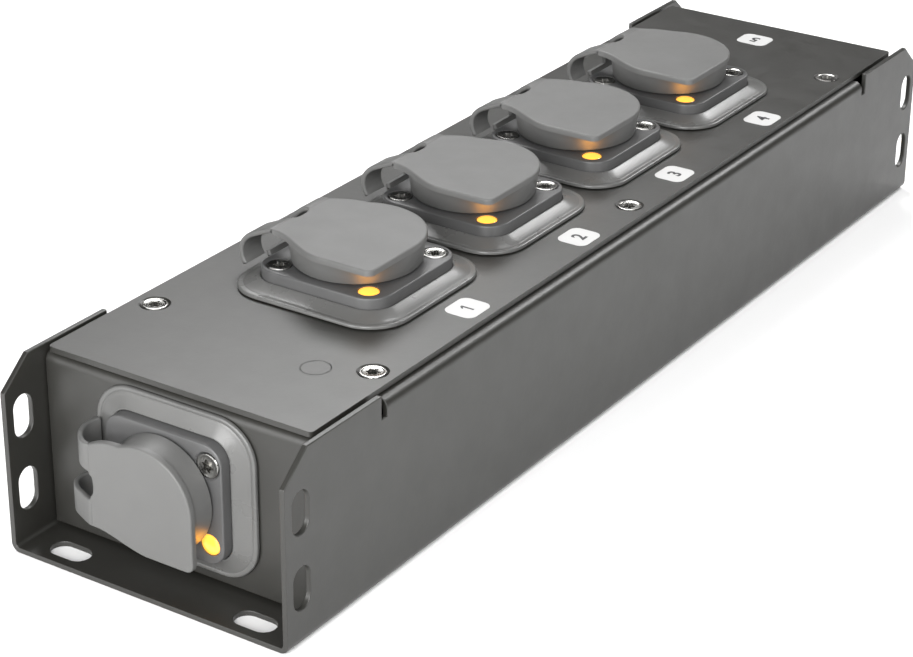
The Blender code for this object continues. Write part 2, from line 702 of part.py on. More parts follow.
def connector(name, size, plate, matrix):
    """Builds one connector on a plate and opens the plate for it."""
    pad = add_object(name + "_pad", pad_mesh(size), matrix, RUBBER)
    housing = add_object(name + "_housing", housing_mesh(size), matrix, HOUSING_PLASTIC)
    insert = add_object(name + "_insert", insert_mesh(size), matrix, INSERT_PLASTIC)

    radius = size.barrel + BARREL_HOLE_CLEARANCE
    hole = turned([(0.0, REACH), (radius, REACH), (radius, -REACH), (0.0, -REACH)], RING_POINTS)
    screw_cuts = screw_cutters(size)
    plate_cuts = [(hole, Matrix.Identity(4))] + screw_cuts
    mouths = contact_meshes(INSERT_FACE - CONTACT_MOUTH, INSERT_FACE + REACH, 0.0)
    tails = contact_meshes(TAIL_END, BARREL_FLOOR + REACH, 0.0)
    for target, label, mesh, operation in (
        (pad, "pad_cuts", join_meshes("cuts", screw_cuts), "DIFFERENCE"),
        (housing, "housing_cuts", join_meshes("cuts", housing_cutters(size)), "DIFFERENCE"),
        (plate, "plate_cuts", join_meshes("cuts", plate_cuts), "DIFFERENCE"),
        (insert, "contact_mouths", mouths, "DIFFERENCE"),
        (insert, "contact_tails", tails, "UNION"),
    ):
        combine(target, add_cutter(f"{name}_{label}", mesh, matrix), operation)

    add_object(name + "_lens", lens_mesh(), matrix @ at(size.lens[0], -size.lens[1], 0.0), AMBER)
    for number, place in enumerate(screw_places(size), start=1):
        mesh = countersunk_screw(HEAD_RADIUS, SHANK_RADIUS, SHANK_LENGTH)
        add_object(f"{name}_screw_{number}", mesh, matrix @ at(*place, FLANGE_TOP), NICKEL)
    straps = add_object(name + "_cap_straps", strap_mesh(size), matrix, RUBBER)
    combine(straps, add_cutter(name + "_strap_window", strap_window(size), matrix), "DIFFERENCE")

    face = cap_face_mesh(size)
    face.transform(Matrix.Translation(-size.hinge))
    cap = add_object(name + "_cap", face, matrix @ Matrix.Translation(size.hinge), RUBBER)
    combine(cap, add_cutter(name + "_cap_plug", cap_plug_mesh(size), matrix), "UNION")


def connector_matrix(origin, outward):
    """Frame of a connector: +x along the box's X, +z along its outward direction."""
    x_axis = Vector((1.0, 0.0, 0.0))
    y_axis = outward.cross(x_axis)
    rotation = Matrix((x_axis, y_axis, outward)).transposed().to_4x4()
    return Matrix.Translation(origin) @ rotation


# Wiring

def rounded_path(points):
    """A path of straight runs with its corners rounded."""
    path = [points[0]]
    for before, corner, after in zip(points, points[1:], points[2:]):
        start = corner + (before - corner).normalized() * LOOM_BEND
        end = corner + (after - corner).normalized() * LOOM_BEND
        for i in range(LOOM_BEND_STEPS + 1):
            share = i / LOOM_BEND_STEPS
            path.append(start.lerp(corner, share).lerp(corner.lerp(end, share), share))
    path.append(points[-1])
    return path


def tube(points, radius):
    """Round tube along a path with rounded corners."""
    path = rounded_path([Vector(point) for point in points])
    steps = LOOM_SIDES
    sections = []
    for i, point in enumerate(path):
        along = path[min(i + 1, len(path) - 1)] - path[max(i - 1, 0)]
        # X steadies the runs along Y and Z, and Y those along X, so that no section twists.
        turn = along.to_track_quat("Z", "X" if abs(along.x) < abs(along.length) / 2 else "Y")
        angles = [math.tau * (k + 0.5) / steps for k in range(steps)]
        ring = [turn @ Vector((radius * math.cos(a), radius * math.sin(a), 0.0)) for a in angles]
        sections.append([point + offset for offset in ring])
    return loft(sections)


def wiring_loom():
    """Sleeved loom along the floor, with a branch to every connector and one to the earth stud."""
    end_y = FACE_Y + TAIL_END - GAP
    rise_y = end_y - LOOM_RISE
    trunk = tube([
        (0.0, -end_y, END_CONNECTOR_Z), (0.0, -rise_y, END_CONNECTOR_Z),
        (0.0, -rise_y, LOOM_LEVEL), (0.0, rise_y, LOOM_LEVEL),
        (0.0, rise_y, END_CONNECTOR_Z), (0.0, end_y, END_CONNECTOR_Z),
    ], LOOM_RADIUS)
    loom = add_object("wiring_loom", trunk, Matrix.Identity(4), LOOM_SLEEVE)
    branch_top = HEIGHT + TAIL_END - GAP - LOOM_LEVEL
    branch = turned([(0.0, branch_top), (LOOM_RADIUS, branch_top), (LOOM_RADIUS, 0.0), (0.0, 0.0)],
                    LOOM_SIDES)
    branches = [(branch, at(0.0, row, LOOM_LEVEL)) for row in outlet_rows()]
    combine(loom, add_cutter("loom_branches", join_meshes("branches", branches), Matrix.Identity(4)),
            "UNION")
    stud_x, stud_y, stud_top = stud_place()
    earth_y = -rise_y + LOOM_RADIUS / 2
    earth_z = (END_CONNECTOR_Z + LOOM_LEVEL) / 2
    earth_lead = tube([
        (0.0, earth_y, earth_z), (stud_x, earth_y, earth_z), (stud_x, stud_y, earth_z),
        (stud_x, stud_y, stud_top - STUD_LENGTH - GAP),
    ], EARTH_LEAD_RADIUS)
    combine(loom, add_cutter("earth_lead", earth_lead, Matrix.Identity(4)), "UNION")


def stud_place():
    """Place of the earth stud's top, under the cover."""
    return STUD_X, STUD_INSET - FACE_Y, SEAT_TOP


def earth_stud():
    """Earth stud on the underside of the cover."""
    stud = turned([
        (0.0, 0.0), (STUD_HEAD_RADIUS, 0.0), (STUD_HEAD_RADIUS, -STUD_HEAD),
        (STUD_RADIUS, -STUD_HEAD), (STUD_RADIUS, -STUD_LENGTH), (0.0, -STUD_LENGTH),
    ], SCREW_STEPS)
    add_object("earth_stud", stud, at(*stud_place()), NICKEL)


def outlet_rows():
    """Places along Y of the four outlets on the cover."""
    return [(row - 1.5) * OUTLET_PITCH for row in range(4)]


def build():
    """Builds the whole box."""
    base_chassis()
    cover = top_cover()
    cover_screws()
    front = end_plate("front_end_plate", -1)
    rear = end_plate("rear_end_plate", 1)
    up = Vector((0.0, 0.0, 1.0))
    along = Vector((0.0, 1.0, 0.0))
    connectors = [("inlet", END_TYPE, front, connector_matrix((0.0, -FACE_Y, END_CONNECTOR_Z), -along))]
    for number, row in enumerate(outlet_rows(), start=1):
        connectors.append((f"outlet_{number}", OUTLET, cover, connector_matrix((0.0, row, HEIGHT), up)))
    connectors.append(("outlet_5", END_TYPE, rear, connector_matrix((0.0, FACE_Y, END_CONNECTOR_Z), along)))
    for name, size, plate, matrix in connectors:
        connector(name, size, plate, matrix)
    earth_stud()
    wiring_loom()


build()
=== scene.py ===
"""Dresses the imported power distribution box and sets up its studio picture."""
import logging
import math
from dataclasses import dataclass, field
from enum import Enum

import bmesh
import bpy
from mathutils import Matrix, Vector


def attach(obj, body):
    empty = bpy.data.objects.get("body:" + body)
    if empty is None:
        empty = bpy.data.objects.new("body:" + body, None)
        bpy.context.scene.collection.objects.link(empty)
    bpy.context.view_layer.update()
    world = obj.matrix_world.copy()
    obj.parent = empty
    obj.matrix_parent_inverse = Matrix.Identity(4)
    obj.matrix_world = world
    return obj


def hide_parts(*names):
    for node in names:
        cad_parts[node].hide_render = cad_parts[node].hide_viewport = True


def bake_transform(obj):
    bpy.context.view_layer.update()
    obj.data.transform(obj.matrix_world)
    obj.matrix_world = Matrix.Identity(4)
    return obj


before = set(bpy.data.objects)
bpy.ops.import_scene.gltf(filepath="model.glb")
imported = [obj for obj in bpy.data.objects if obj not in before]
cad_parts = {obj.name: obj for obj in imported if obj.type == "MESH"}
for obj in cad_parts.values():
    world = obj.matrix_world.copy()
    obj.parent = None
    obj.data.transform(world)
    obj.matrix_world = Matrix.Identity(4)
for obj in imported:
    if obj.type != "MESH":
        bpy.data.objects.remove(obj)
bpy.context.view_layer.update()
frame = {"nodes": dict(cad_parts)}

MM = 0.001
BOX = "box"
LARGE_FACE = 60.0 * MM * MM  # a face from this size on is flat and stays flat
LOG = logging.getLogger("power_distribution_box")

Pair = tuple[float, float]
Place = tuple[float, float, float]
Colour = tuple[float, float, float]
Edges = list[bmesh.types.BMEdge]
Socket = bpy.types.NodeSocket


# Finishes

class Graph:
    """A small helper that adds and links the nodes of one material."""

    def __init__(self, name: str) -> None:
        """Starts a material with a Principled shader.

        Args:
            name: the material's name.
        """
        self.material = bpy.data.materials.new(name)
        self.material.use_nodes = True
        self.tree = self.material.node_tree
        self.shader = self.tree.nodes["Principled BSDF"]
        self.coordinates = self.tree.nodes.new("ShaderNodeTexCoord").outputs["Object"]

    def set(self, **values: object) -> None:
        """Sets sockets of the shader by name, with _ for a space."""
        for key, value in values.items():
            self.shader.inputs[key.replace("_", " ")].default_value = value

    def noise(self, size: float, detail: float = 3.0, roughness: float = 0.5) -> Socket:
        """Adds a noise on the object's own coordinates.

        Args:
            size: the width of one blotch, in metres.
            detail: the number of finer layers.
            roughness: the weight of the finer layers.

        Returns:
            The socket that holds the noise, from 0 to 1.
        """
        node = self.tree.nodes.new("ShaderNodeTexNoise")
        node.inputs["Scale"].default_value = 1.0 / size
        node.inputs["Detail"].default_value = detail
        node.inputs["Roughness"].default_value = roughness
        self.tree.links.new(self.coordinates, node.inputs["Vector"])
        return node.outputs["Fac"]

    def spread(self, source: Socket, low: float, high: float,
               start: float = 0.3, end: float = 0.7) -> Socket:
        """Maps a noise to a range.

        Args:
            source: the socket to map.
            low: the result where the source is at start or below.
            high: the result where the source is at end or above.
            start: the source's value that gives low.
            end: the source's value that gives high.

        Returns:
            The mapped socket.
        """
        node = self.tree.nodes.new("ShaderNodeMapRange")
        node.inputs["From Min"].default_value = start
        node.inputs["From Max"].default_value = end
        node.inputs["To Min"].default_value = low
        node.inputs["To Max"].default_value = high
        self.tree.links.new(source, node.inputs["Value"])
        return node.outputs["Result"]

    def blend(self, share: Socket, first: Colour, second: Colour) -> Socket:
        """Mixes two colours.

        Args:
            share: the socket that holds the second colour's share.
            first: the colour where the share is 0.
            second: the colour where the share is 1.

        Returns:
            The mixed colour's socket.
        """
        node = self.tree.nodes.new("ShaderNodeMix")
        node.data_type = "RGBA"
        node.inputs["A"].default_value = (*first, 1.0)
        node.inputs["B"].default_value = (*second, 1.0)
        self.tree.links.new(share, node.inputs["Factor"])
        return node.outputs["Result"]

    def relief(self, height: Socket, depth: float, strength: float) -> None:
        """Adds a bump on top of any bump that is there.

        Args:
            height: the socket that holds the bump's height, from 0 to 1.
            depth: the bump's depth, in metres.
            strength: how strongly it turns the light.
        """
        node = self.tree.nodes.new("ShaderNodeBump")
        node.inputs["Distance"].default_value = depth
        node.inputs["Strength"].default_value = strength
        self.tree.links.new(height, node.inputs["Height"])
        normal = self.shader.inputs["Normal"]
        if normal.is_linked:
            self.tree.links.new(normal.links[0].from_socket, node.inputs["Normal"])
        self.tree.links.new(node.outputs["Normal"], normal)

    def link(self, source: Socket, name: str) -> None:
        """Links a socket to an input of the shader."""
        self.tree.links.new(source, self.shader.inputs[name])


def shade(colour: Colour, share: float) -> Colour:
    """Returns a colour made darker or lighter by a factor."""
    return tuple(channel * share for channel in colour)


@dataclass(frozen=True)
class Finish:
    """A surface of one colour with a fine grain.

    Attributes:
        name: name of the material.
        slot: material slot of the record that it stands for; not used.
        colour: linear base colour.
        roughness: mean roughness.
        unevenness: how far the roughness strays from its mean.
        mottle: how far the colour strays, as a share.
        grain: width of the grain, in metres.
        depth: depth of the grain, in metres.
        metallic: metallic value.
        coat: weight of a clear coat.
        coat_roughness: roughness of that coat.
        specular: specular level.
        blotch: width of the colour's blotches, in metres.
        patch: width of the gloss's patches, in metres.
        strength: how strongly the grain turns the light.
    """

    name: str
    slot: str
    colour: Colour
    roughness: float
    unevenness: float = 0.05
    mottle: float = 0.08
    grain: float = 0.5 * MM
    depth: float = 0.02 * MM
    metallic: float = 0.0
    coat: float = 0.0
    coat_roughness: float = 0.2
    specular: float = 0.5
    blotch: float = 18.0 * MM
    patch: float = 6.0 * MM
    strength: float = 0.6

    def material(self) -> bpy.types.Material:
        """Returns the finish's material, made once."""
        made = bpy.data.materials.get(self.name)
        if made is None:
            graph = Graph(self.name)
            self.build(graph)
            made = graph.material
        return made

    def build(self, graph: Graph) -> None:
        """Adds colour, gloss and grain to a new material.

        Args:
            graph: the new material's nodes.
        """
        graph.set(Metallic=self.metallic, Coat_Weight=self.coat, Coat_Roughness=self.coat_roughness,
                  Specular_IOR_Level=self.specular)
        tone = graph.spread(graph.noise(self.blotch, 4.0), 0.0, 1.0)
        graph.link(graph.blend(tone, shade(self.colour, 1.0 - self.mottle),
                               shade(self.colour, 1.0 + self.mottle)), "Base Color")
        graph.link(graph.spread(graph.noise(self.patch, 5.0), self.roughness - self.unevenness,
                                self.roughness + self.unevenness), "Roughness")
        graph.relief(graph.noise(self.grain, 2.0), self.depth, self.strength)


@dataclass(frozen=True)
class PowderCoat(Finish):
    """Baked powder on sheet: a fine grain over a soft, wavy skin.

    Attributes:
        wave: width of a wave.
        wave_depth: its depth.
        wave_strength: how strongly it turns the light.
    """

    wave: float = 1.4 * MM
    wave_depth: float = 0.03 * MM
    wave_strength: float = 0.35

    def build(self, graph: Graph) -> None:
        """Adds the powder's wave below its grain."""
        super().build(graph)
        graph.relief(graph.noise(self.wave, 1.0), self.wave_depth, self.wave_strength)


@dataclass(frozen=True)
class GlowingLens(Finish):
    """Clear amber plastic, lit from behind.

    Attributes:
        glow: colour of the light.
        power: its strength.
    """

    glow: Colour = (1.0, 0.42, 0.05)
    power: float = 1.7

    def build(self, graph: Graph) -> None:
        """Adds the lamp's light."""
        super().build(graph)
        graph.set(Emission_Color=(*self.glow, 1.0), Emission_Strength=self.power)


@dataclass(frozen=True)
class Metal(Finish):
    """Bare or plated metal with a few darker spots.

    Attributes:
        spot: width of a spot.
        spot_shade: its shade, as a share of the colour.
    """

    spot: float = 0.6 * MM
    spot_shade: float = 0.55

    def build(self, graph: Graph) -> None:
        """Adds small dull spots to the metal.

        Args:
            graph: the new material's nodes.
        """
        super().build(graph)
        spots = graph.spread(graph.noise(self.spot, 6.0, 0.7), 0.0, 1.0, 0.55, 0.75)
        graph.link(graph.blend(spots, self.colour, shade(self.colour, self.spot_shade)), "Base Color")


POWDER_COAT = PowderCoat(
    "charcoal_powder_coat", "powder_coat", (0.0185, 0.018, 0.0155), 0.42, unevenness=0.025, mottle=0.05,
    grain=0.42 * MM, depth=0.01 * MM, specular=0.7)
CAP_RUBBER = Finish(
    "grey_cap_rubber", "rubber", (0.1, 0.1, 0.0975), 0.52, unevenness=0.04, mottle=0.05,
    grain=0.3 * MM, depth=0.022 * MM)
# Painted shade: the cap's round wall and plate sides are the cap's own rubber, coloured darker where they
# fall in shade; the lower roughness is their real gloss.
PAINTED_SHADE_WALL_RUBBER = Finish(
    "painted_shade_wall_rubber", "rubber", (0.018, 0.0175, 0.0165), 0.24, unevenness=0.05, mottle=0.1,
    grain=0.5 * MM, depth=0.006 * MM, specular=0.3)
PAD_RUBBER = Finish(
    "seal_pad_rubber", "rubber", (0.105, 0.105, 0.102), 0.29, unevenness=0.03, mottle=0.08,
    grain=0.32 * MM, depth=0.007 * MM)
# Painted shade: the straps' inner faces, the same rubber coloured dark where the loops shade themselves.
PAINTED_SHADE_STRAP_INSIDE = Finish(
    "painted_shade_strap_inside", "rubber", (0.016, 0.014, 0.012), 0.4, grain=0.4 * MM, depth=0.01 * MM)
HOUSING = Finish(
    "moulded_housing", "housing_plastic", (0.074, 0.074, 0.074), 0.38, unevenness=0.05,
    grain=0.2 * MM, depth=0.01 * MM)
INSERT = Finish(
    "contact_insert_plastic", "insert_plastic", (0.045, 0.045, 0.048), 0.35, grain=0.3 * MM,
    depth=0.006 * MM)
NICKEL = Metal(
    "nickel_plate", "nickel_steel", (0.38, 0.375, 0.36), 0.27, unevenness=0.1, mottle=0.1,
    grain=0.18 * MM, depth=0.006 * MM, metallic=1.0)
BRASS = Metal(
    "contact_brass", "nickel_steel", (0.78, 0.56, 0.24), 0.28, unevenness=0.06, grain=0.2 * MM,
    depth=0.005 * MM, metallic=1.0)
LENS = GlowingLens(
    "glowing_amber", "amber_lens", (0.5, 0.22, 0.03), 0.18, mottle=0.02, depth=0.002 * MM, coat=0.6,
    coat_roughness=0.08)
SLEEVE = Finish(
    "woven_sleeve", "loom_sleeve", (0.012, 0.012, 0.013), 0.6, grain=0.6 * MM, depth=0.12 * MM)
LABEL = Finish(
    "white_label_film", "powder_coat", (0.5, 0.5, 0.495), 0.5, unevenness=0.03, mottle=0.01,
    grain=0.8 * MM, depth=0.003 * MM)
INK = Finish(
    "black_ink", "powder_coat", (0.02, 0.02, 0.022), 0.45, grain=0.4 * MM, depth=0.002 * MM)
STUD_MARK = Finish(
    "weld_mark", "powder_coat", (0.022, 0.022, 0.021), 0.35, grain=0.4 * MM, depth=0.01 * MM)
PAPER = Finish(
    "pale_floor", "floor", (0.93, 0.93, 0.93), 0.75, unevenness=0.02, mottle=0.004, grain=3.0 * MM,
    depth=0.02 * MM)


# Mesh tools

class Joining(Enum):
    """How one solid acts on another."""

    JOIN = "UNION"
    CUT = "DIFFERENCE"


def smooth(bm: bmesh.types.BMesh, angle: float) -> None:
    """Shades every small face smooth and marks the sharp edges.

    Args:
        bm: the bmesh.
        angle: the angle in degrees from which an edge is sharp.
    """
    limit = math.radians(angle)
    for face in bm.faces:
        face.smooth = face.calc_area() < LARGE_FACE
    for edge in bm.edges:
        edge.smooth = len(edge.link_faces) == 2 and edge.calc_face_angle(0.0) < limit


def to_mesh(bm: bmesh.types.BMesh, name: str, recalc: bool = True, angle: float = 32.0) -> bpy.types.Mesh:
    """Turns a bmesh into a mesh and frees it.

    Args:
        bm: the bmesh.
        name: the mesh's name.
        recalc: whether to turn the faces outwards.
        angle: the angle in degrees from which an edge is sharp.

    Returns:
        The new mesh.
    """
    if recalc:
        bmesh.ops.recalc_face_normals(bm, faces=bm.faces)
    smooth(bm, angle)
    mesh = bpy.data.meshes.new(name)
    bm.to_mesh(mesh)
    bm.free()
    return mesh


def helper_object(data: bpy.types.ID) -> bpy.types.Object:
    """Links a helper object that is removed again once its mesh is applied.

    Args:
        data: the mesh or text that it shows.

    Returns:
        The helper.
    """
    helper = bpy.data.objects.new("work", data)
    bpy.context.scene.collection.objects.link(helper)
    return helper


def applied(helper: bpy.types.Object) -> bpy.types.Mesh:
    """Gives the final mesh of a helper object and removes the helper.

    Args:
        helper: the helper, with its modifiers.

    Returns:
        A new mesh.
    """
    graph = bpy.context.evaluated_depsgraph_get()
    made = bpy.data.meshes.new_from_object(helper.evaluated_get(graph))
    bpy.data.objects.remove(helper)
    return made


def combined(first: bpy.types.Mesh, second: bpy.types.Mesh, joining: Joining) -> bpy.types.Mesh:
    """Joins or cuts one mesh by another.

    Args:
        first: the mesh that is kept; its materials' order holds for both.
        second: the mesh that acts on it.
        joining: whether the second mesh is added or cut away.

    Returns:
        A new mesh; both given meshes are removed.
    """
    kept, tool = helper_object(first), helper_object(second)
    boolean = kept.modifiers.new("joining", "BOOLEAN")
    boolean.operation = joining.value
    boolean.object = tool
    boolean.solver = "EXACT"
    made = applied(kept)
    bpy.data.objects.remove(tool)
    bpy.data.meshes.remove(first)
    bpy.data.meshes.remove(second)
    return made


def resmoothed(mesh: bpy.types.Mesh, angle: float = 32.0, merge: float = 0.002 * MM) -> bpy.types.Mesh:
    """Merges a cut mesh's doubled points and marks its sharp edges again.

    Args:
        mesh: the mesh.
        angle: the angle in degrees from which an edge is sharp.
        merge: the distance up to which two points become one.

    Returns:
        The same mesh.
    """
    bm = bmesh.new()
    bm.from_mesh(mesh)
    bmesh.ops.remove_doubles(bm, verts=bm.verts, dist=merge)
    smooth(bm, angle)
    bm.to_mesh(mesh)
    bm.free()
    return mesh


def merged(name: str, placed: list[tuple[bpy.types.Mesh, Matrix]]) -> bpy.types.Mesh:
    """Joins placed copies of meshes into one mesh.

    Args:
        name: the new mesh's name.
        placed: meshes with the places of their copies.

    Returns:
        The joined mesh, smooth as its pieces are.
    """
    bm = bmesh.new()
    for mesh, matrix in placed:
        copy = mesh.copy()
        copy.transform(matrix)
        bm.from_mesh(copy)
        bpy.data.meshes.remove(copy)
    made = bpy.data.meshes.new(name)
    bm.to_mesh(made)
    bm.free()
    return made


def at(x: float, y: float, z: float) -> Matrix:
    """Returns the matrix of a plain move."""
    return Matrix.Translation((x, y, z))


def strung(bm: bmesh.types.BMesh, points: list[Place]) -> tuple[list[bmesh.types.BMVert], Edges]:
    """Adds points with an edge from each to the next.

    Args:
        bm: the bmesh that gets them.
        points: the points.

    Returns:
        The new vertices and the new edges.
    """
    verts = [bm.verts.new(point) for point in points]
    return verts, [bm.edges.new(pair) for pair in zip(verts, verts[1:])]


def turned(profile: list[Pair], steps: int, name: str = "turned") -> bpy.types.Mesh:
    """Spins a profile about z.

    Args:
        profile: points of radius and height, with both ends on the axis.
        steps: the number of steps in the full turn.
        name: the mesh's name.

    Returns:
        The closed mesh.
    """
    bm = bmesh.new()
    verts, edges = strung(bm, [(radius, 0.0, z) for radius, z in profile])
    bmesh.ops.spin(bm, geom=verts + edges, axis=(0.0, 0.0, 1.0), cent=(0.0, 0.0, 0.0),
                   angle=math.tau, steps=steps, use_merge=True)
    bmesh.ops.remove_doubles(bm, verts=bm.verts, dist=0.001 * MM)
    return to_mesh(bm, name)


def bore(radius: float, high: float, low: float, steps: int) -> bpy.types.Mesh:
    """Returns a round bar along z, as the solid of a plain hole."""
    return turned([(0.0, high), (radius, high), (radius, low), (0.0, low)], steps)


def rounded_outline(half: Pair, fillet: float, z: float,
                    segments: int) -> tuple[bmesh.types.BMesh, bmesh.types.BMFace]:
    """Makes one flat face with round corners.

    Args:
        half: half sizes along x and y.
        fillet: radius of the corners.
        z: the face's height.
        segments: the number of steps in each corner.

    Returns:
        A new bmesh and its face, facing up.
    """
    bm = bmesh.new()
    bmesh.ops.create_grid(bm, x_segments=1, y_segments=1, size=1.0)
    bmesh.ops.scale(bm, vec=(half[0], half[1], 1.0), verts=bm.verts)
    bmesh.ops.bevel(bm, geom=list(bm.verts), offset=fillet, offset_type="OFFSET", affect="VERTICES",
                    segments=segments, profile=0.5, material=-1)
    bmesh.ops.translate(bm, vec=(0.0, 0.0, z), verts=bm.verts)
    bm.faces.ensure_lookup_table()
    return bm, bm.faces[0]


def raised(bm: bmesh.types.BMesh, face: bmesh.types.BMFace, height: float) -> bmesh.types.BMFace:
    """Extrudes a lone face upwards into a solid.

    Args:
        bm: the bmesh that holds only that face.
        face: the face.
        height: the solid's height.

    Returns:
        The solid's top face.
    """
    grown = bmesh.ops.extrude_face_region(bm, geom=[face])["geom"]
    verts = [item for item in grown if isinstance(item, bmesh.types.BMVert)]
    bmesh.ops.translate(bm, vec=(0.0, 0.0, height), verts=verts)
    bmesh.ops.recalc_face_normals(bm, faces=bm.faces)
    return next(item for item in grown if isinstance(item, bmesh.types.BMFace))


def circle_edges(bm: bmesh.types.BMesh, radius: float, z: float, count: int) -> Edges:
    """Adds a round loop of edges, turned half a step.

    Args:
        bm: the bmesh that gets the loop.
        radius: the loop's radius.
        z: its height.
        count: the number of its edges.

    Returns:
        The loop's edges.
    """
    turn = Matrix.Rotation(math.pi / count, 4, "Z")
    verts = bmesh.ops.create_circle(bm, cap_ends=False, radius=radius, segments=count,
                                    matrix=at(0.0, 0.0, z) @ turn)["verts"]
    loop = set(verts)
    return [edge for edge in bm.edges if edge.verts[0] in loop and edge.verts[1] in loop]


def rounded_edges(bm: bmesh.types.BMesh, half: Pair, fillet: float, z: float,
                  segments: int) -> Edges:
    """Adds a loop of edges with round corners and returns it.

    Args:
        bm: the bmesh that gets the loop.
        half: half sizes along x and y.
        fillet: radius of the corners.
        z: the loop's height.
        segments: the number of steps in each corner.

    Returns:
        The loop's edges.
    """
    before = set(bm.edges)
    matrix = at(0.0, 0.0, z) @ Matrix.Diagonal((half[0], half[1], 1.0, 1.0))
    corners = bmesh.ops.create_grid(bm, x_segments=1, y_segments=1, size=1.0, matrix=matrix)["verts"]
    bmesh.ops.bevel(bm, geom=corners, offset=fillet, offset_type="OFFSET", affect="VERTICES",
                    segments=segments, profile=0.5, material=-1)
    added = [edge for edge in bm.edges if edge not in before]
    bmesh.ops.delete(bm, geom=[added[0].link_faces[0]], context="FACES_ONLY")
    return added


def bridged(bm: bmesh.types.BMesh, *loops: Edges) -> None:
    """Bridges each loop of edges to the next."""
    for first, second in zip(loops, loops[1:]):
        bmesh.ops.bridge_loops(bm, edges=first + second)


def outline_prism(points: list[Pair], low: float,
                  high: float) -> tuple[bmesh.types.BMesh, bmesh.types.BMFace]:
    """Extrudes a closed outline between two heights.

    Args:
        points: the outline's points.
        low: height of the foot.
        high: height of the top.

    Returns:
        A new bmesh and its top face.
    """
    bm = bmesh.new()
    face = bm.faces.new([bm.verts.new((x, y, low)) for x, y in points])
    return bm, raised(bm, face, high - low)


def arc(centre: Pair, radius: float, start: float, end: float, steps: int) -> list[Pair]:
    """Returns points on an arc, both ends included, with angles in degrees."""
    angles = [math.radians(start + (end - start) * i / steps) for i in range(steps + 1)]
    return [(centre[0] + radius * math.cos(a), centre[1] + radius * math.sin(a)) for a in angles]


def shown(name: str, mesh: bpy.types.Mesh, finishes: list[Finish]) -> bpy.types.Object:
    """Shows a mesh that isn't yet on a body.

    Args:
        name: the piece's name.
        mesh: its mesh, in the box's frame.
        finishes: its finishes, in the order of the mesh's material numbers.

    Returns:
        The new object.
    """
    made = bpy.data.objects.new(name, mesh)
    bpy.context.scene.collection.objects.link(made)
    mesh.materials.clear()
    for finish in finishes:
        mesh.materials.append(finish.material())
    LOG.info("%s: %d faces", name, len(mesh.polygons))
    return made


def piece(name: str, mesh: bpy.types.Mesh, finishes: list[Finish], body: str,
          *nodes: str) -> bpy.types.Object:
    """Shows a mesh as a piece of the object.

    Args:
        name: the piece's name.
        mesh: its mesh, in the box's frame.
        finishes: its finishes, in the order of the mesh's material numbers.
        body: the body that it rides on.
        nodes: the CAD nodes that it stands for.

    Returns:
        The new object.
    """
    made = shown(name, mesh, finishes)
    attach(made, body)
    if nodes:
        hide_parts(*nodes)
    return made


def softened(target: bpy.types.Object, width: float, segments: int = 2, angle: float = 40.0) -> None:
    """Rounds a piece's sharp edges with a bevel.

    Args:
        target: the piece.
        width: the bevel's width.
        segments: the number of steps in it.
        angle: the angle in degrees from which an edge is rounded.
    """
    bevel = target.modifiers.new("edges", "BEVEL")
    bevel.width = width
    bevel.segments = segments
    bevel.limit_method = "ANGLE"
    bevel.angle_limit = math.radians(angle)
    bevel.harden_normals = True
    bevel.use_clamp_overlap = True


# Folded box

def extruded(bm: bmesh.types.BMesh, edges: Edges, offset: Vector) -> Edges:
    """Extrudes open edges.

    Args:
        bm: the bmesh.
        edges: the edges.
        offset: how far and which way they go.

    Returns:
        The new outer edges.
    """
    grown = bmesh.ops.extrude_edge_only(bm, edges=edges)["geom"]
    verts = [item for item in grown if isinstance(item, bmesh.types.BMVert)]
    bmesh.ops.translate(bm, verts=verts, vec=offset)
    outer = set(verts)
    return [item for item in grown if isinstance(item, bmesh.types.BMEdge) and set(item.verts) <= outer]


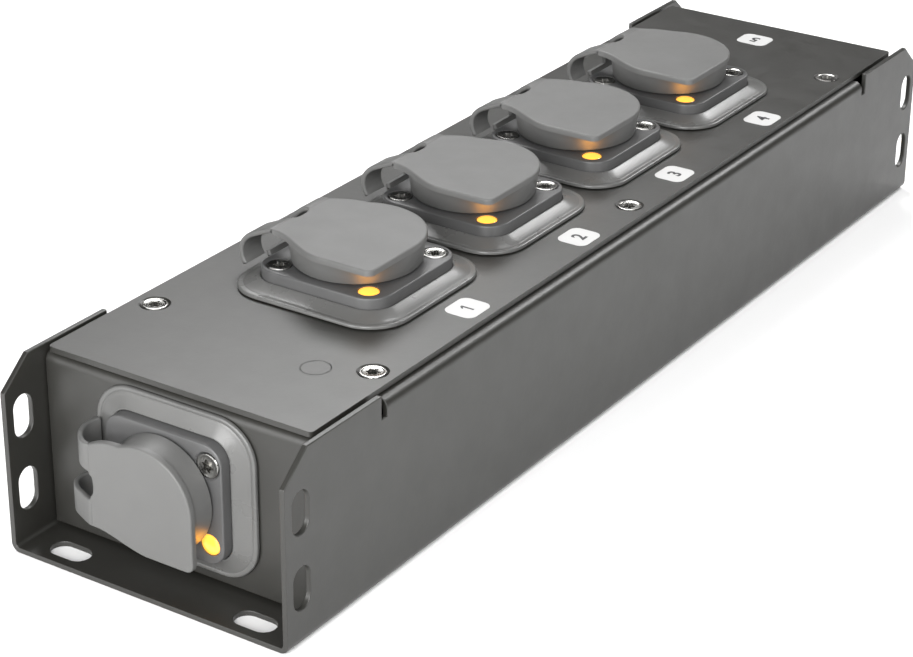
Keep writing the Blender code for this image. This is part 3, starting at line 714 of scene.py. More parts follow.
@dataclass
class FoldedBox:
    """Chassis, end plates and cover, in powder-coated sheet.

    Attributes:
        length: length of the chassis, wings included.
        width: outer width.
        height: height of the cover's top.
        sheet: thickness of the sheet.
        bend: outer radius of every fold.
        bend_steps: the number of steps in a fold.
        recess: distance of an end plate behind the wings' ends.
        gap: clearance between two sheets.
        relief_y: place along Y of the slit beside each wing.
        relief_width: its width.
        relief_depth: its depth.
        return_flange: how far the sides' top edges are folded in.
        end_flange: how far an end plate's top edge is folded in.
        chamfer: length and height of the wings' cut corners.
        cover_setback: distance of the cover's long edges inside the width.
        cover_fillet: radius of the cover's corners.
        slot_length: length of a mounting slot.
        slot_width: its width.
        slot_end: distance of its middle from the chassis's end.
        slot_heights: heights of the two slots in each wing.
        base_slot_x: distance of the floor's slots from the middle.
        screw_x: distance of the cover's screws from the middle.
        screw_rows: their places along Y.
        screw_hole: radius of their holes.
        screw_sink: radius of the sinks in the cover.
        screw_drop: how far their heads lie below the cover's top.
        reach: how far a cutting solid goes past what it cuts.
        edge: width of the sheets' rounded edges.
    """

    length: float = 271.0 * MM
    width: float = 68.0 * MM
    height: float = 41.0 * MM
    sheet: float = 1.2 * MM
    bend: float = 2.0 * MM
    bend_steps: int = 10
    recess: float = 11.6 * MM
    gap: float = 0.3 * MM
    relief_y: float = 104.0 * MM
    relief_width: float = 1.8 * MM
    relief_depth: float = 3.4 * MM
    return_flange: float = 10.5 * MM
    end_flange: float = 9.0 * MM
    chamfer: Pair = (7.2 * MM, 6.0 * MM)
    cover_setback: float = 2.3 * MM
    cover_fillet: float = 1.0 * MM
    slot_length: float = 9.2 * MM
    slot_width: float = 5.2 * MM
    slot_end: float = 4.8 * MM
    slot_heights: Pair = (12.3 * MM, 28.3 * MM)
    base_slot_x: float = 22.8 * MM
    screw_x: float = 26.7 * MM
    screw_rows: tuple[float, ...] = (-97.4 * MM, 0.0, 97.4 * MM)
    screw_hole: float = 1.8 * MM
    screw_sink: float = 3.25 * MM
    screw_drop: float = 0.02 * MM
    reach: float = 5.0 * MM
    edge: float = 0.22 * MM

    @property
    def face_y(self) -> float:
        """Distance of an end plate's outer face from the middle."""
        return self.length / 2 - self.recess

    @property
    def seat(self) -> float:
        """Height of what the cover lies on."""
        return self.height - self.sheet - self.gap

    def screw_places(self) -> list[Pair]:
        """Places of the cover's screws."""
        return [(side * self.screw_x, y) for side in (-1, 1) for y in self.screw_rows]

    def fold(self, bm: bmesh.types.BMesh, edges: Edges, inward: Vector, tip: float) -> None:
        """Folds a wall's top edges over and runs on to the flange's tip.

        Args:
            bm: the open surface.
            edges: the wall's top edges, where the fold starts.
            inward: the direction that the flange takes.
            tip: distance of its tip from the wall.
        """
        points = arc((0.0, 0.0), self.bend, 0.0, 90.0, self.bend_steps)
        for (x0, z0), (x1, z1) in zip(points, points[1:]):
            edges = extruded(bm, edges, inward * (x0 - x1) + Vector((0.0, 0.0, z1 - z0)))
        extruded(bm, edges, inward * (tip - self.bend))

    def sheet_mesh(self, bm: bmesh.types.BMesh, outward: Vector, name: str) -> bpy.types.Mesh:
        """Gives an open outer surface its thickness.

        Args:
            bm: the surface.
            outward: the direction that its largest face looks to.
            name: the mesh's name.

        Returns:
            The closed sheet.
        """
        bmesh.ops.recalc_face_normals(bm, faces=bm.faces)
        bm.normal_update()
        largest = max(bm.faces, key=lambda face: face.calc_area())
        if largest.normal.dot(outward) < 0.0:
            bmesh.ops.reverse_faces(bm, faces=bm.faces)
        mesh = to_mesh(bm, name, recalc=False)
        helper = helper_object(mesh)
        solid = helper.modifiers.new("sheet", "SOLIDIFY")
        solid.thickness = self.sheet
        solid.offset = -1.0
        solid.use_even_offset = True
        return applied(helper)

    def slot_mesh(self, depth: float) -> bpy.types.Mesh:
        """Makes the solid of a mounting slot along z, with its length along x.

        Args:
            depth: the solid's height.

        Returns:
            The solid, with its foot at z = 0.
        """
        radius = self.slot_width / 2
        offset = self.slot_length / 2 - radius
        points = arc((offset, 0.0), radius, -90.0, 90.0, 14) + arc((-offset, 0.0), radius, 90.0, 270.0, 14)
        bm, _ = outline_prism(points, 0.0, depth)
        return to_mesh(bm, "slot")

    def chassis_cuts(self) -> bpy.types.Mesh:
        """Mounting slots and wing chamfers as one mesh of separate solids."""
        reach = self.reach
        through = self.width + 2 * reach
        across = Matrix(((0, 0, 1, -self.width / 2 - reach), (0, 1, 0, 0), (-1, 0, 0, 0), (0, 0, 0, 1)))
        slope = self.chamfer[1] / self.chamfer[0]
        outer = self.length / 2 + reach
        inner = self.length / 2 - self.chamfer[0] - reach
        top = self.height + reach * slope
        foot = self.height - self.chamfer[1] - reach * slope
        floor_slot = self.slot_mesh(2 * reach)
        side_slot = self.slot_mesh(through)
        placed = []
        for end in (-1, 1):
            y = end * (self.length / 2 - self.slot_end)
            placed += [(floor_slot, at(side * self.base_slot_x, y, -reach)) for side in (-1, 1)]
            placed += [(side_slot, at(0.0, y, z) @ across) for z in self.slot_heights]
            corner = [(-foot, end * outer), (-top, end * outer), (-top, end * inner)]
            bm, _ = outline_prism(corner, 0.0, through)
            placed.append((to_mesh(bm, "corner"), across))
        return merged("chassis_cuts", placed)

    def chassis_mesh(self) -> bpy.types.Mesh:
        """Floor and sides in one folded sheet, with return flanges and plain wings."""
        half = self.width / 2
        relief = self.relief_width / 2
        low = self.seat - self.relief_depth
        middle = half - self.bend
        section = [(-half, low), *arc((-middle, self.bend), self.bend, 180.0, 270.0, self.bend_steps),
                   *arc((middle, self.bend), self.bend, 270.0, 360.0, self.bend_steps), (half, low)]
        stations = [-self.length / 2, -self.relief_y - relief, -self.relief_y + relief,
                    self.relief_y - relief, self.relief_y + relief, self.length / 2]
        bm = bmesh.new()
        _, edges = strung(bm, [(x, stations[0], z) for x, z in section])
        for start, end in zip(stations, stations[1:]):
            edges = extruded(bm, edges, Vector((0.0, end - start, 0.0)))
        for side in (-1, 1):
            wings = [*self.rim(bm, side, low, stations[0], stations[1]),
                     *self.rim(bm, side, low, stations[4], stations[5])]
            rims = self.rim(bm, side, low, stations[2], stations[3])
            extruded(bm, wings, Vector((0.0, 0.0, self.height - low)))
            rims = extruded(bm, rims, Vector((0.0, 0.0, self.relief_depth - self.bend)))
            self.fold(bm, rims, Vector((-side, 0.0, 0.0)), self.return_flange)
        sheet = self.sheet_mesh(bm, Vector((0.0, 0.0, -1.0)), "chassis")
        sheet = combined(sheet, self.chassis_cuts(), Joining.CUT)
        depth = 4.0 * MM
        hole = bore(self.screw_hole, depth, -depth, 24)
        holes = merged("holes", [(hole, at(*place, self.seat)) for place in self.screw_places()])
        return resmoothed(combined(sheet, holes, Joining.CUT))

    def rim(self, bm: bmesh.types.BMesh, side: int, height: float, low: float,
            high: float) -> Edges:
        """Finds open upper edges of one side wall.

        Args:
            bm: the chassis's surface.
            side: -1 for the left wall, 1 for the right one.
            height: the edges' height.
            low: the place along Y where the stretch starts.
            high: the place where it ends.

        Returns:
            The edges.
        """
        found = []
        for edge in bm.edges:
            centre = (edge.verts[0].co + edge.verts[1].co) / 2
            on_top = edge.is_boundary and abs(centre.z - height) < 0.1 * MM
            if on_top and centre.x * side > 0.0 and low < centre.y < high:
                found.append(edge)
        return found

    def end_plate_mesh(self, end: int, radius: float, level: float) -> bpy.types.Mesh:
        """End plate between the wings, opened for its connector.

        Args:
            end: -1 for the front, 1 for the rear.
            radius: radius of the connector's opening.
            level: height of its middle.

        Returns:
            The plate's mesh.
        """
        half = self.width / 2 - self.sheet - self.gap
        bottom = self.sheet + 2 * self.gap
        bm = bmesh.new()
        _, edges = strung(bm, [(side * half, end * self.face_y, bottom) for side in (-1, 1)])
        edges = extruded(bm, edges, Vector((0.0, 0.0, self.seat - self.bend - bottom)))
        self.fold(bm, edges, Vector((0.0, -end, 0.0)), self.end_flange)
        plate = self.sheet_mesh(bm, Vector((0.0, end, 0.0)), "end_plate")
        hole = bore(radius, self.reach, -self.reach, 64)
        hole.transform(at(0.0, end * self.face_y, level) @ Matrix.Rotation(math.pi / 2, 4, "X"))
        return resmoothed(combined(plate, hole, Joining.CUT))

    def cover_mesh(self, openings: list[Pair]) -> bpy.types.Mesh:
        """Cover sheet with its connector openings and countersinks.

        Args:
            openings: radius and place along Y of each opening.

        Returns:
            The cover's mesh.
        """
        bm, face = rounded_outline((self.width / 2 - self.cover_setback, self.face_y), self.cover_fillet,
                                   self.height - self.sheet, 6)
        raised(bm, face, self.sheet)
        mesh = to_mesh(bm, "cover")
        reach = self.reach
        sink = turned([(0.0, reach), (self.screw_sink, reach), (self.screw_sink, 0.0),
                       (self.screw_hole, -self.sheet), (self.screw_hole, -reach), (0.0, -reach)], 48)
        placed = [(sink, at(*place, self.height)) for place in self.screw_places()]
        for radius, y in openings:
            placed.append((bore(radius, reach, -reach, 64), at(0.0, y, self.height)))
        return resmoothed(combined(mesh, merged("cuts", placed), Joining.CUT))

    def build(self, openings: list[Pair], end_opening: Pair) -> None:
        """Shows the chassis, the end plates and the cover.

        Args:
            openings: radius and place along Y of each opening in the cover.
            end_opening: radius and height of the opening in each end plate.
        """
        made = [piece("folded_chassis", self.chassis_mesh(), [POWDER_COAT], BOX, "base_chassis"),
                piece("cover_sheet", self.cover_mesh(openings), [POWDER_COAT], BOX, "top_cover")]
        for end, label in ((-1, "front"), (1, "rear")):
            made.append(piece(f"{label}_plate", self.end_plate_mesh(end, *end_opening), [POWDER_COAT], BOX,
                              f"{label}_end_plate"))
        for sheet in made:
            softened(sheet, self.edge)


# Fasteners

@dataclass
class Screw:
    """A plated countersunk screw; z = 0 is level with the sheet or flange that it holds.

    Attributes:
        head: radius of the head.
        shank: radius of the shank.
        length: length from the head's top.
        lobes: the number of lobes of the star recess.
        swing: how far the lobes swing its edge, as a share of its radius.
        recess: the recess's mean radius, as a share of the head's.
        recess_depth: its depth, as a share of the head's radius.
        recess_taper: its size at the bottom, as a share of that at the top.
    """

    head: float
    shank: float
    length: float
    lobes: int = 6
    swing: float = 0.2
    recess: float = 0.52
    recess_depth: float = 0.6
    recess_taper: float = 0.7

    def recess_outline(self) -> list[Pair]:
        """Star outline of the recess."""
        points = []
        for step in range(96):
            angle = math.tau * step / 96
            reach = self.recess * self.head * (1.0 + self.swing * math.cos(self.lobes * angle))
            points.append((reach * math.cos(angle), reach * math.sin(angle)))
        return points

    def recess_mesh(self) -> bpy.types.Mesh:
        """Tapered recess that is cut into the head."""
        bm, _ = outline_prism(self.recess_outline(), -self.recess_depth * self.head, 1.0 * MM)
        low = [vert for vert in bm.verts if vert.co.z < 0.0]
        bmesh.ops.scale(bm, vec=(self.recess_taper, self.recess_taper, 1.0), verts=low)
        return to_mesh(bm, "recess")

    def mesh(self) -> bpy.types.Mesh:
        """Head with a rounded rim, shank and recess."""
        head = self.head
        body = turned([
            (0.0, -0.1 * MM), (0.7 * head, -0.08 * MM), (0.78 * head, -0.04 * MM), (0.84 * head, 0.06 * MM),
            (0.9 * head, 0.08 * MM), (0.96 * head, 0.03 * MM), (head, -0.12 * MM), (head, -0.22 * MM),
            (self.shank, self.shank - head), (self.shank, -self.length), (0.0, -self.length)], 48, "screw")
        return resmoothed(combined(body, self.recess_mesh(), Joining.CUT), 28.0)


# Connectors

@dataclass
class ConnectorSize:
    """Sizes of one kind of connector, seen along its axis.

    Attributes:
        pad: half sizes of the seal pad.
        pad_fillet: its corners' radius.
        flange: half sizes of the housing's flange.
        flange_fillet: its corners' radius.
        screw: place of a flange screw.
        lens: place of the lens, with y mirrored.
        barrel: outer radius of the housing's barrel.
        cap: radius of the cap's round side.
        foot: radius of the cap's wall at its foot.
        tab: distance of the finger tab's tip from the middle.
        straps: a strap's inner and outer edge.
        socket_wall: thickness of the barrel's wall.
        wall_step: distance of the cap's wall inside its round side.
        hinge_step: distance of the cap's hinge side inside the flange's edge.
    """

    pad: Pair
    pad_fillet: float
    flange: Pair
    flange_fillet: float
    screw: Pair
    lens: Pair
    barrel: float
    cap: float
    foot: float
    tab: float
    straps: Pair
    socket_wall: float = 1.4 * MM
    wall_step: float = 0.3 * MM
    hinge_step: float = 1.5 * MM

    @property
    def mouth(self) -> float:
        """Radius of the socket's mouth."""
        return self.barrel - self.socket_wall

    @property
    def wall(self) -> float:
        """Radius of the cap's round wall under the plate."""
        return self.cap - self.wall_step

    @property
    def cap_edge(self) -> float:
        """Distance of the cap's hinge side from the middle."""
        return self.flange[0] - self.hinge_step


OUTLET = ConnectorSize(
    pad=(20.2 * MM, 20.0 * MM), pad_fillet=9.0 * MM, flange=(15.7 * MM, 15.3 * MM), flange_fillet=5.4 * MM,
    screw=(11.4 * MM, 11.3 * MM), lens=(10.9 * MM, 11.4 * MM), barrel=12.0 * MM, cap=14.4 * MM,
    foot=13.5 * MM, tab=15.8 * MM, straps=(3.4 * MM, 9.9 * MM))
END_TYPE = ConnectorSize(
    pad=(19.2 * MM, 17.2 * MM), pad_fillet=8.6 * MM, flange=(14.1 * MM, 12.9 * MM), flange_fillet=4.2 * MM,
    screw=(10.8 * MM, 8.5 * MM), lens=(10.8 * MM, 8.5 * MM), barrel=10.9 * MM, cap=11.7 * MM,
    foot=12.0 * MM, tab=11.6 * MM, straps=(3.2 * MM, 9.0 * MM))


@dataclass
class Connector:
    """A capped locking power connector on a plate.

    Its own frame has its origin on the plate's outer face, z out of the plate and x away from the hinge.

    Attributes:
        name: first word of the pieces' names.
        size: sizes of its kind.
        frame: the connector's frame in the box's.
        flange_top: height of the flange's face.
        flange_foot: height of the flange's underside.
        pad_floor: height of the pad under the flange.
        pad_foot: height of the pad's underside.
        snug: gap between the flange and the pad's lip.
        slack: gap between parts that are pushed together.
        depth: length of the barrel behind the plate.
        floor: height of the socket's floor.
        insert_face: height of the insert's face.
        insert_gap: gap between the insert and the socket's wall.
        contact_ring: distance of a contact from the middle.
        blade: half sizes of a contact's opening.
        blade_fillet: its corners' radius.
        blade_inset: how much smaller the contact is than its opening.
        tail_end: height of the contacts' rear ends.
        screw_sink: radius of the flange screws' sinks.
        screw_hole: radius of their holes.
        screw_turn: turn from one screw's recess to the next, in degrees.
        lens_seat: radius of the lens's seat.
        lens_depth: its depth.
        cap_top: height of the cap's face.
        cap_plate: thickness of the cap's plate.
        plug_gap: gap between the cap's plug and the socket.
        plug_wall: thickness of the plug.
        plug_reach: how far it reaches into the socket.
        roof: depth of the plug's hollow under the cap's face.
        scoop: depth of the scoop between the straps.
        tab_fillet: radius of the finger tab's corner.
        edge: radius of the cap's rounded edges.
        strap: thickness of a strap.
        strap_foot: height at which a strap meets the pad.
        strap_end: angle at which a strap's loop ends, in degrees.
        strap_edge: width of a strap's rounded edges.
        flare: how far a strap widens at the cap.
        flare_length: length of that widening.
        wide_loop: the wider strap's outer line, as distances from the cap's edge and heights in mm.
        narrow_loop: the same of the tighter strap.
        loop: the number of steps round the barrel.
        corner_steps: the number of steps in a corner.
    """

    name: str
    size: ConnectorSize
    frame: Matrix
    flange_top: float = 4.6 * MM
    flange_foot: float = 1.8 * MM
    pad_floor: float = 1.5 * MM
    pad_foot: float = 0.3 * MM
    snug: float = 0.1 * MM
    slack: float = 0.3 * MM
    depth: float = 22.0 * MM
    floor: float = -20.4 * MM
    insert_face: float = -3.8 * MM
    insert_gap: float = 2.6 * MM
    contact_ring: float = 4.2 * MM
    blade: Pair = (1.8 * MM, 0.4 * MM)
    blade_fillet: float = 0.12 * MM
    blade_inset: float = 0.06 * MM
    tail_end: float = -27.0 * MM
    screw_sink: float = 2.95 * MM
    screw_hole: float = 1.7 * MM
    screw_turn: float = 23.0
    lens_seat: float = 2.3 * MM
    lens_depth: float = 1.5 * MM
    cap_top: float = 11.2 * MM
    cap_plate: float = 1.3 * MM
    plug_gap: float = 0.9 * MM
    plug_wall: float = 1.6 * MM
    plug_reach: float = 2.0 * MM
    roof: float = 3.2 * MM
    scoop: float = 0.5 * MM
    tab_fillet: float = 1.7 * MM
    edge: float = 0.4 * MM
    strap: float = 1.1 * MM
    strap_foot: float = 1.6 * MM
    strap_end: float = 235.0
    strap_edge: float = 0.34 * MM
    flare: float = 1.1 * MM
    flare_length: float = 3.5 * MM
    wide_loop: tuple[Pair, ...] = (
        (0.0, 11.2), (0.7, 11.16), (1.7, 10.8), (3.8, 9.9), (6.4, 8.6), (8.1, 6.8), (8.7, 4.7), (8.4, 2.7),
        (7.6, 1.3))
    narrow_loop: tuple[Pair, ...] = (
        (0.0, 11.2), (1.5, 11.1), (3.2, 10.2), (4.9, 8.4), (6.0, 6.4), (6.5, 4.4), (6.4, 2.7), (5.9, 1.3))
    loop: int = 48
    corner_steps: int = 11

    @property
    def lid(self) -> str:
        """Name of the body that the cap rides on."""
        return f"{self.name}_lid"

    @property
    def hinge(self) -> Pair:
        """The hinge axis's x and z."""
        top = self.cap_top - self.strap / 2
        foot = self.strap_foot + self.strap / 2
        rise = (top - foot) / (1.0 - math.sin(math.radians(self.strap_end)))
        return self.slack - self.size.flange[0], top - rise

    def place(self, mesh: bpy.types.Mesh) -> bpy.types.Mesh:
        """Moves a mesh from the connector's frame to the box's."""
        mesh.transform(self.frame)
        return mesh

    def pad_mesh(self) -> bpy.types.Mesh:
        """Soft pad: thin border, rising skirt, lip, groove and the floor under the flange.

        Known fault: some bridges between its loops have crossed faces, which lie over the socket's mouth.
        """
        size = self.size
        inner = (size.flange[0] + self.snug, size.flange[1] + self.snug)
        inner_fillet = size.flange_fillet + self.snug
        profile = [(0.0, self.pad_foot), (0.0, 0.62 * MM), (0.012, 0.82 * MM), (0.04, 0.95 * MM),
                   (0.09, 1.0 * MM), (0.2, 0.99 * MM), (0.225, 0.93 * MM), (0.25, 1.0 * MM)]
        for step in range(1, 9):
            share = step / 8
            profile.append((0.25 + 0.66 * share, (1.0 + 1.2 * share ** 1.2) * MM))
        profile += [(0.94, 2.26 * MM), (0.97, 2.26 * MM), (0.99, 2.2 * MM), (1.0, 2.05 * MM),
                    (1.0, self.pad_floor)]
        bm = bmesh.new()
        loops = []
        for share, z in profile:
            half = tuple(a + (b - a) * share for a, b in zip(size.pad, inner))
            fillet = size.pad_fillet + (inner_fillet - size.pad_fillet) * share
            loops.append(rounded_edges(bm, half, fillet, z, self.corner_steps))
        hole = size.barrel + self.slack
        rings = [circle_edges(bm, hole, z, self.loop) for z in (self.pad_floor, self.pad_foot)]
        bridged(bm, *loops, *rings, loops[0])
        return to_mesh(bm, "pad", angle=50.0)

    def housing_mesh(self) -> bpy.types.Mesh:
        """Square flange with a barrel, its screw sinks and its lens seat.

        Known fault: the bridge from the flange's underside to the barrel has crossed faces, which close
        the mouth 2.8 mm below the flange's face.
        """
        size = self.size
        top = self.flange_top
        bm = bmesh.new()
        rim = ((0.0, top - self.flange_foot), (0.0, 0.38 * MM), (0.05 * MM, 0.2 * MM),
               (0.16 * MM, 0.06 * MM), (0.34 * MM, 0.0))
        lip = ((0.5 * MM, top), (0.15 * MM, top - 0.12 * MM), (0.0, top - 0.45 * MM), (0.0, self.floor))
        outline = [rounded_edges(bm, (size.flange[0] - inset, size.flange[1] - inset),
                                 size.flange_fillet - inset, top - drop, self.corner_steps)
                   for inset, drop in rim]
        mouth = [circle_edges(bm, size.mouth + extra, z, self.loop) for extra, z in lip]
        barrel = [circle_edges(bm, size.barrel, z, self.loop) for z in (self.flange_foot, -self.depth)]
        bridged(bm, *outline, *mouth)
        bridged(bm, outline[0], *barrel)
        bmesh.ops.contextual_create(bm, geom=mouth[-1])
        bmesh.ops.contextual_create(bm, geom=barrel[-1])
        shell = to_mesh(bm, "housing", angle=35.0)
        return resmoothed(combined(shell, self.flange_cuts(), Joining.CUT), 35.0)

    def flange_cuts(self) -> bpy.types.Mesh:
        """Countersinks of the flange's screws and the lens's seat."""
        size = self.size
        above, below = 4.0 * MM, -12.0 * MM
        sink = turned([(0.0, above), (self.screw_sink, above), (self.screw_sink, -0.1 * MM),
                       (self.screw_hole, -1.3 * MM), (self.screw_hole, below), (0.0, below)], 48)
        seat = bore(self.lens_seat, above, -self.lens_depth, 48)
        placed = [(sink, at(side * size.screw[0], side * size.screw[1], self.flange_top))
                  for side in (-1, 1)]
        return merged("cuts", placed + [(seat, at(size.lens[0], -size.lens[1], self.flange_top))])

    def insert_mesh(self) -> bpy.types.Mesh:
        """Round block with three contact openings and the contacts' tails behind it."""
        radius = self.size.mouth - self.insert_gap
        face = self.insert_face
        foot = self.floor + self.slack
        block = turned([(0.0, face), (radius - 0.5 * MM, face), (radius - 0.12 * MM, face - 0.15 * MM),
                        (radius, face - 0.5 * MM), (radius, foot), (0.0, foot)], 56)
        mouths = self.blades_mesh(face - 3.0 * MM, face + 2.0 * MM, 0.0)
        tails = self.blades_mesh(self.tail_end, foot + 1.0 * MM, 0.0)
        return resmoothed(combined(combined(block, mouths, Joining.CUT), tails, Joining.JOIN))

    def blades_mesh(self, low: float, high: float, inset: float) -> bpy.types.Mesh:
        """The three flat contacts.

        Args:
            low: height of their lower ends.
            high: height of their upper ends.
            inset: how much smaller they are than their openings, on every side.

        Returns:
            The three closed shells in one mesh.
        """
        ring = self.contact_ring
        half = (self.blade[0] - inset, self.blade[1] - inset)
        placed = []
        for angle in (math.radians(90), math.radians(210), math.radians(330)):
            bm, face = rounded_outline(half, self.blade_fillet, low, 3)
            raised(bm, face, high - low)
            placed.append((to_mesh(bm, "blade"), at(ring * math.cos(angle), ring * math.sin(angle), 0.0)))
        return merged("blades", placed)

    def lens_mesh(self) -> bpy.types.Mesh:
        """Low dome of the lens in its seat."""
        top = self.flange_top
        mesh = turned([(0.0, top + 0.3 * MM), (0.8 * MM, top + 0.27 * MM), (1.4 * MM, top + 0.18 * MM),
                       (1.85 * MM, top + 0.04 * MM), (2.1 * MM, top - 0.12 * MM),
                       (2.15 * MM, top - 0.3 * MM), (2.15 * MM, top - 1.2 * MM), (0.0, top - 1.2 * MM)], 40)
        mesh.transform(at(self.size.lens[0], -self.size.lens[1], 0.0))
        return mesh

    def cap_outline(self) -> list[Pair]:
        """Outline of the cap's face: round side, finger tab and a scoop between the straps."""
        size = self.size
        radius = size.cap
        edge = size.cap_edge
        outer = size.straps[1]
        inner = size.straps[0] - self.flare
        points = arc((0.0, 0.0), radius, 0.0, 115.0, 34)
        start = Vector((*points[-1], 0.0))
        for step in range(1, 7):
            share = step / 6
            swing = start.lerp(Vector((-edge, outer, 0.0)), share)
            bulge = 0.5 * MM * math.sin(math.pi * share)
            points.append((swing.x - 0.5 * bulge, swing.y + bulge))
        for step in range(13):
            angle = math.radians(15.0 * step)
            points.append((self.scoop * math.sin(angle) - edge, inner * math.cos(angle)))
        points.append((-edge, -outer))
        for step in range(1, 17):
            share = step / 16
            ease = share * share * (3.0 - 2.0 * share)
            points.append((-edge + (edge + 0.1 * radius) * share, -outer - (size.tab - outer) * ease))
        fillet = self.tab_fillet
        return points + arc((radius - fillet, fillet - size.tab), fillet, -90.0, 0.0, 8)

    def cap_mesh(self) -> bpy.types.Mesh:
        """Cap plate with its round wall, plug and hollow; the wall and the plate's sides away from the
        hinge have the second finish, the cap's own rubber coloured darker as painted shade.
        """
        size = self.size
        low = self.cap_top - self.cap_plate
        bm, top = outline_prism(self.cap_outline(), low, self.cap_top)
        hinge_side = -size.cap_edge + 0.01 * MM
        free = []
        for border in top.edges:
            first, second = (vert.co.x for vert in border.verts)
            if min(first, second) > hinge_side or abs(first - second) > 0.01 * MM:
                free.append(border)
        bmesh.ops.bevel(bm, geom=free, offset=self.edge, offset_type="OFFSET", affect="EDGES",
                        segments=4, profile=0.5, material=-1)
        plate = to_mesh(bm, "cap_plate", angle=50.0)
        foot = self.flange_top + self.slack
        plug = size.mouth - self.plug_gap
        tip = self.flange_top - self.plug_reach
        hollow = plug - self.plug_wall
        roof = self.cap_top - self.roof
        join = self.cap_top - self.cap_plate / 2
        slope = 0.3 * MM
        wall = turned([(0.0, join), (size.wall, join), (size.wall, low - 0.5 * MM),
                       (size.foot, foot + slope), (size.foot - slope, foot),
                       (plug, foot), (plug, tip + slope), (plug - slope, tip), (hollow + slope, tip),
                       (hollow, tip + slope), (hollow, roof), (0.0, roof)], 72)
        for mesh in (plate, wall):
            mesh.materials.append(CAP_RUBBER.material())
            mesh.materials.append(PAINTED_SHADE_WALL_RUBBER.material())
            # Painted shade: the wall and the plate's sides away from the hinge take the darker copy of the
            # cap's rubber.
            mesh.polygons.foreach_set("material_index", [
                int(mesh is wall or (abs(face.normal.z) < 0.3 and face.center.x > -0.65 * size.cap))
                for face in mesh.polygons])
        return resmoothed(combined(plate, wall, Joining.JOIN), 40.0)

    def strap_path(self, reach: tuple[Pair, ...]) -> list[Pair]:
        """Smooth outer line of a strap in x and z.

        Args:
            reach: points that the line passes, as distances from the cap's edge and heights in mm.

        Returns:
            The line's points.
        """
        knots = [reach[0], *reach, reach[-1]]
        path = []
        for before, start, end, after in zip(knots, knots[1:], knots[2:], knots[3:]):
            around = (before, start, end, after)
            for step in range(5):
                t = step / 5
                weights = ((-t + 2 * t * t - t ** 3) / 2, (2 - 5 * t * t + 3 * t ** 3) / 2,
                           (t + 4 * t * t - 3 * t ** 3) / 2, (t ** 3 - t * t) / 2)
                path.append(tuple(sum(w * knot[k] for w, knot in zip(weights, around)) for k in (0, 1)))
        path.append(reach[-1])
        return [((-x - 0.03) * MM - self.size.cap_edge, z * MM) for x, z in path]

    def strip_mesh(self, path: list[Pair], low: float, high: float, flare: float) -> bpy.types.Mesh:
        """One rubber strip inside a line, with round long edges.

        Args:
            path: points of x and z on the strip's outer face, from the cap on.
            low: the strip's edge towards the middle.
            high: its other edge.
            flare: how far the edge at low widens at the path's start.

        Returns:
            The closed strip.
        """
        bm = bmesh.new()
        verts, edges = strung(bm, [(x, low, z) for x, z in path])
        extruded(bm, edges, Vector((0.0, high - low, 0.0)))
        length = 0.0
        for last, vert in zip(verts, verts[1:]):
            share = max(0.0, 1.0 - length / self.flare_length)
            last.co.y -= math.copysign(flare * share * share, high - low)
            length += (vert.co - last.co).length
        bmesh.ops.recalc_face_normals(bm, faces=bm.faces)
        bm.normal_update()
        outermost = min(bm.faces, key=lambda face: face.calc_center_median().x)
        if outermost.normal.x > 0.0:
            bmesh.ops.reverse_faces(bm, faces=bm.faces)
            bm.normal_update()
        bmesh.ops.solidify(bm, geom=bm.faces, thickness=self.strap)
        bm.normal_update()
        axis = Vector((self.hinge[0], 0.0, self.hinge[1]))
        # Painted shade: faces that look towards the hinge axis, inside the loop, get the second, darker
        # finish.
        for face in bm.faces:
            outwards = face.calc_center_median() - axis
            outwards.y = 0.0
            face.material_index = int(face.normal.dot(outwards.normalized()) < -0.5)
        long_edges = [edge for edge in bm.edges if edge.calc_face_angle(0.0) > math.radians(60.0)
                      and self.runs_along(edge)]
        bmesh.ops.bevel(bm, geom=long_edges, offset=self.strap_edge, offset_type="OFFSET", affect="EDGES",
                        segments=3, profile=0.5, material=-1)
        return to_mesh(bm, "loop", angle=50.0)

    @staticmethod
    def runs_along(edge: bmesh.types.BMEdge) -> bool:
        """Whether an edge runs along a strap and not across it."""
        along = edge.verts[1].co - edge.verts[0].co
        return abs(along.y) < 0.9 * along.length and along.length > 0.0

    def strap_mesh(self) -> bpy.types.Mesh:
        """Both rubber loops from the cap's face round to the pad, with the foot that joins them."""
        inner, outer = self.size.straps
        wide, narrow = (self.strap_path(reach) for reach in (self.wide_loop, self.narrow_loop))
        foot = inner + 0.5 * MM
        strips = [self.strip_mesh(narrow, inner, outer, self.flare),
                  self.strip_mesh(wide, -inner, -outer, self.flare),
                  self.strip_mesh(narrow[-6:], -foot, foot, 0.0)]
        return merged("straps", [(strip, Matrix.Identity(4)) for strip in strips])

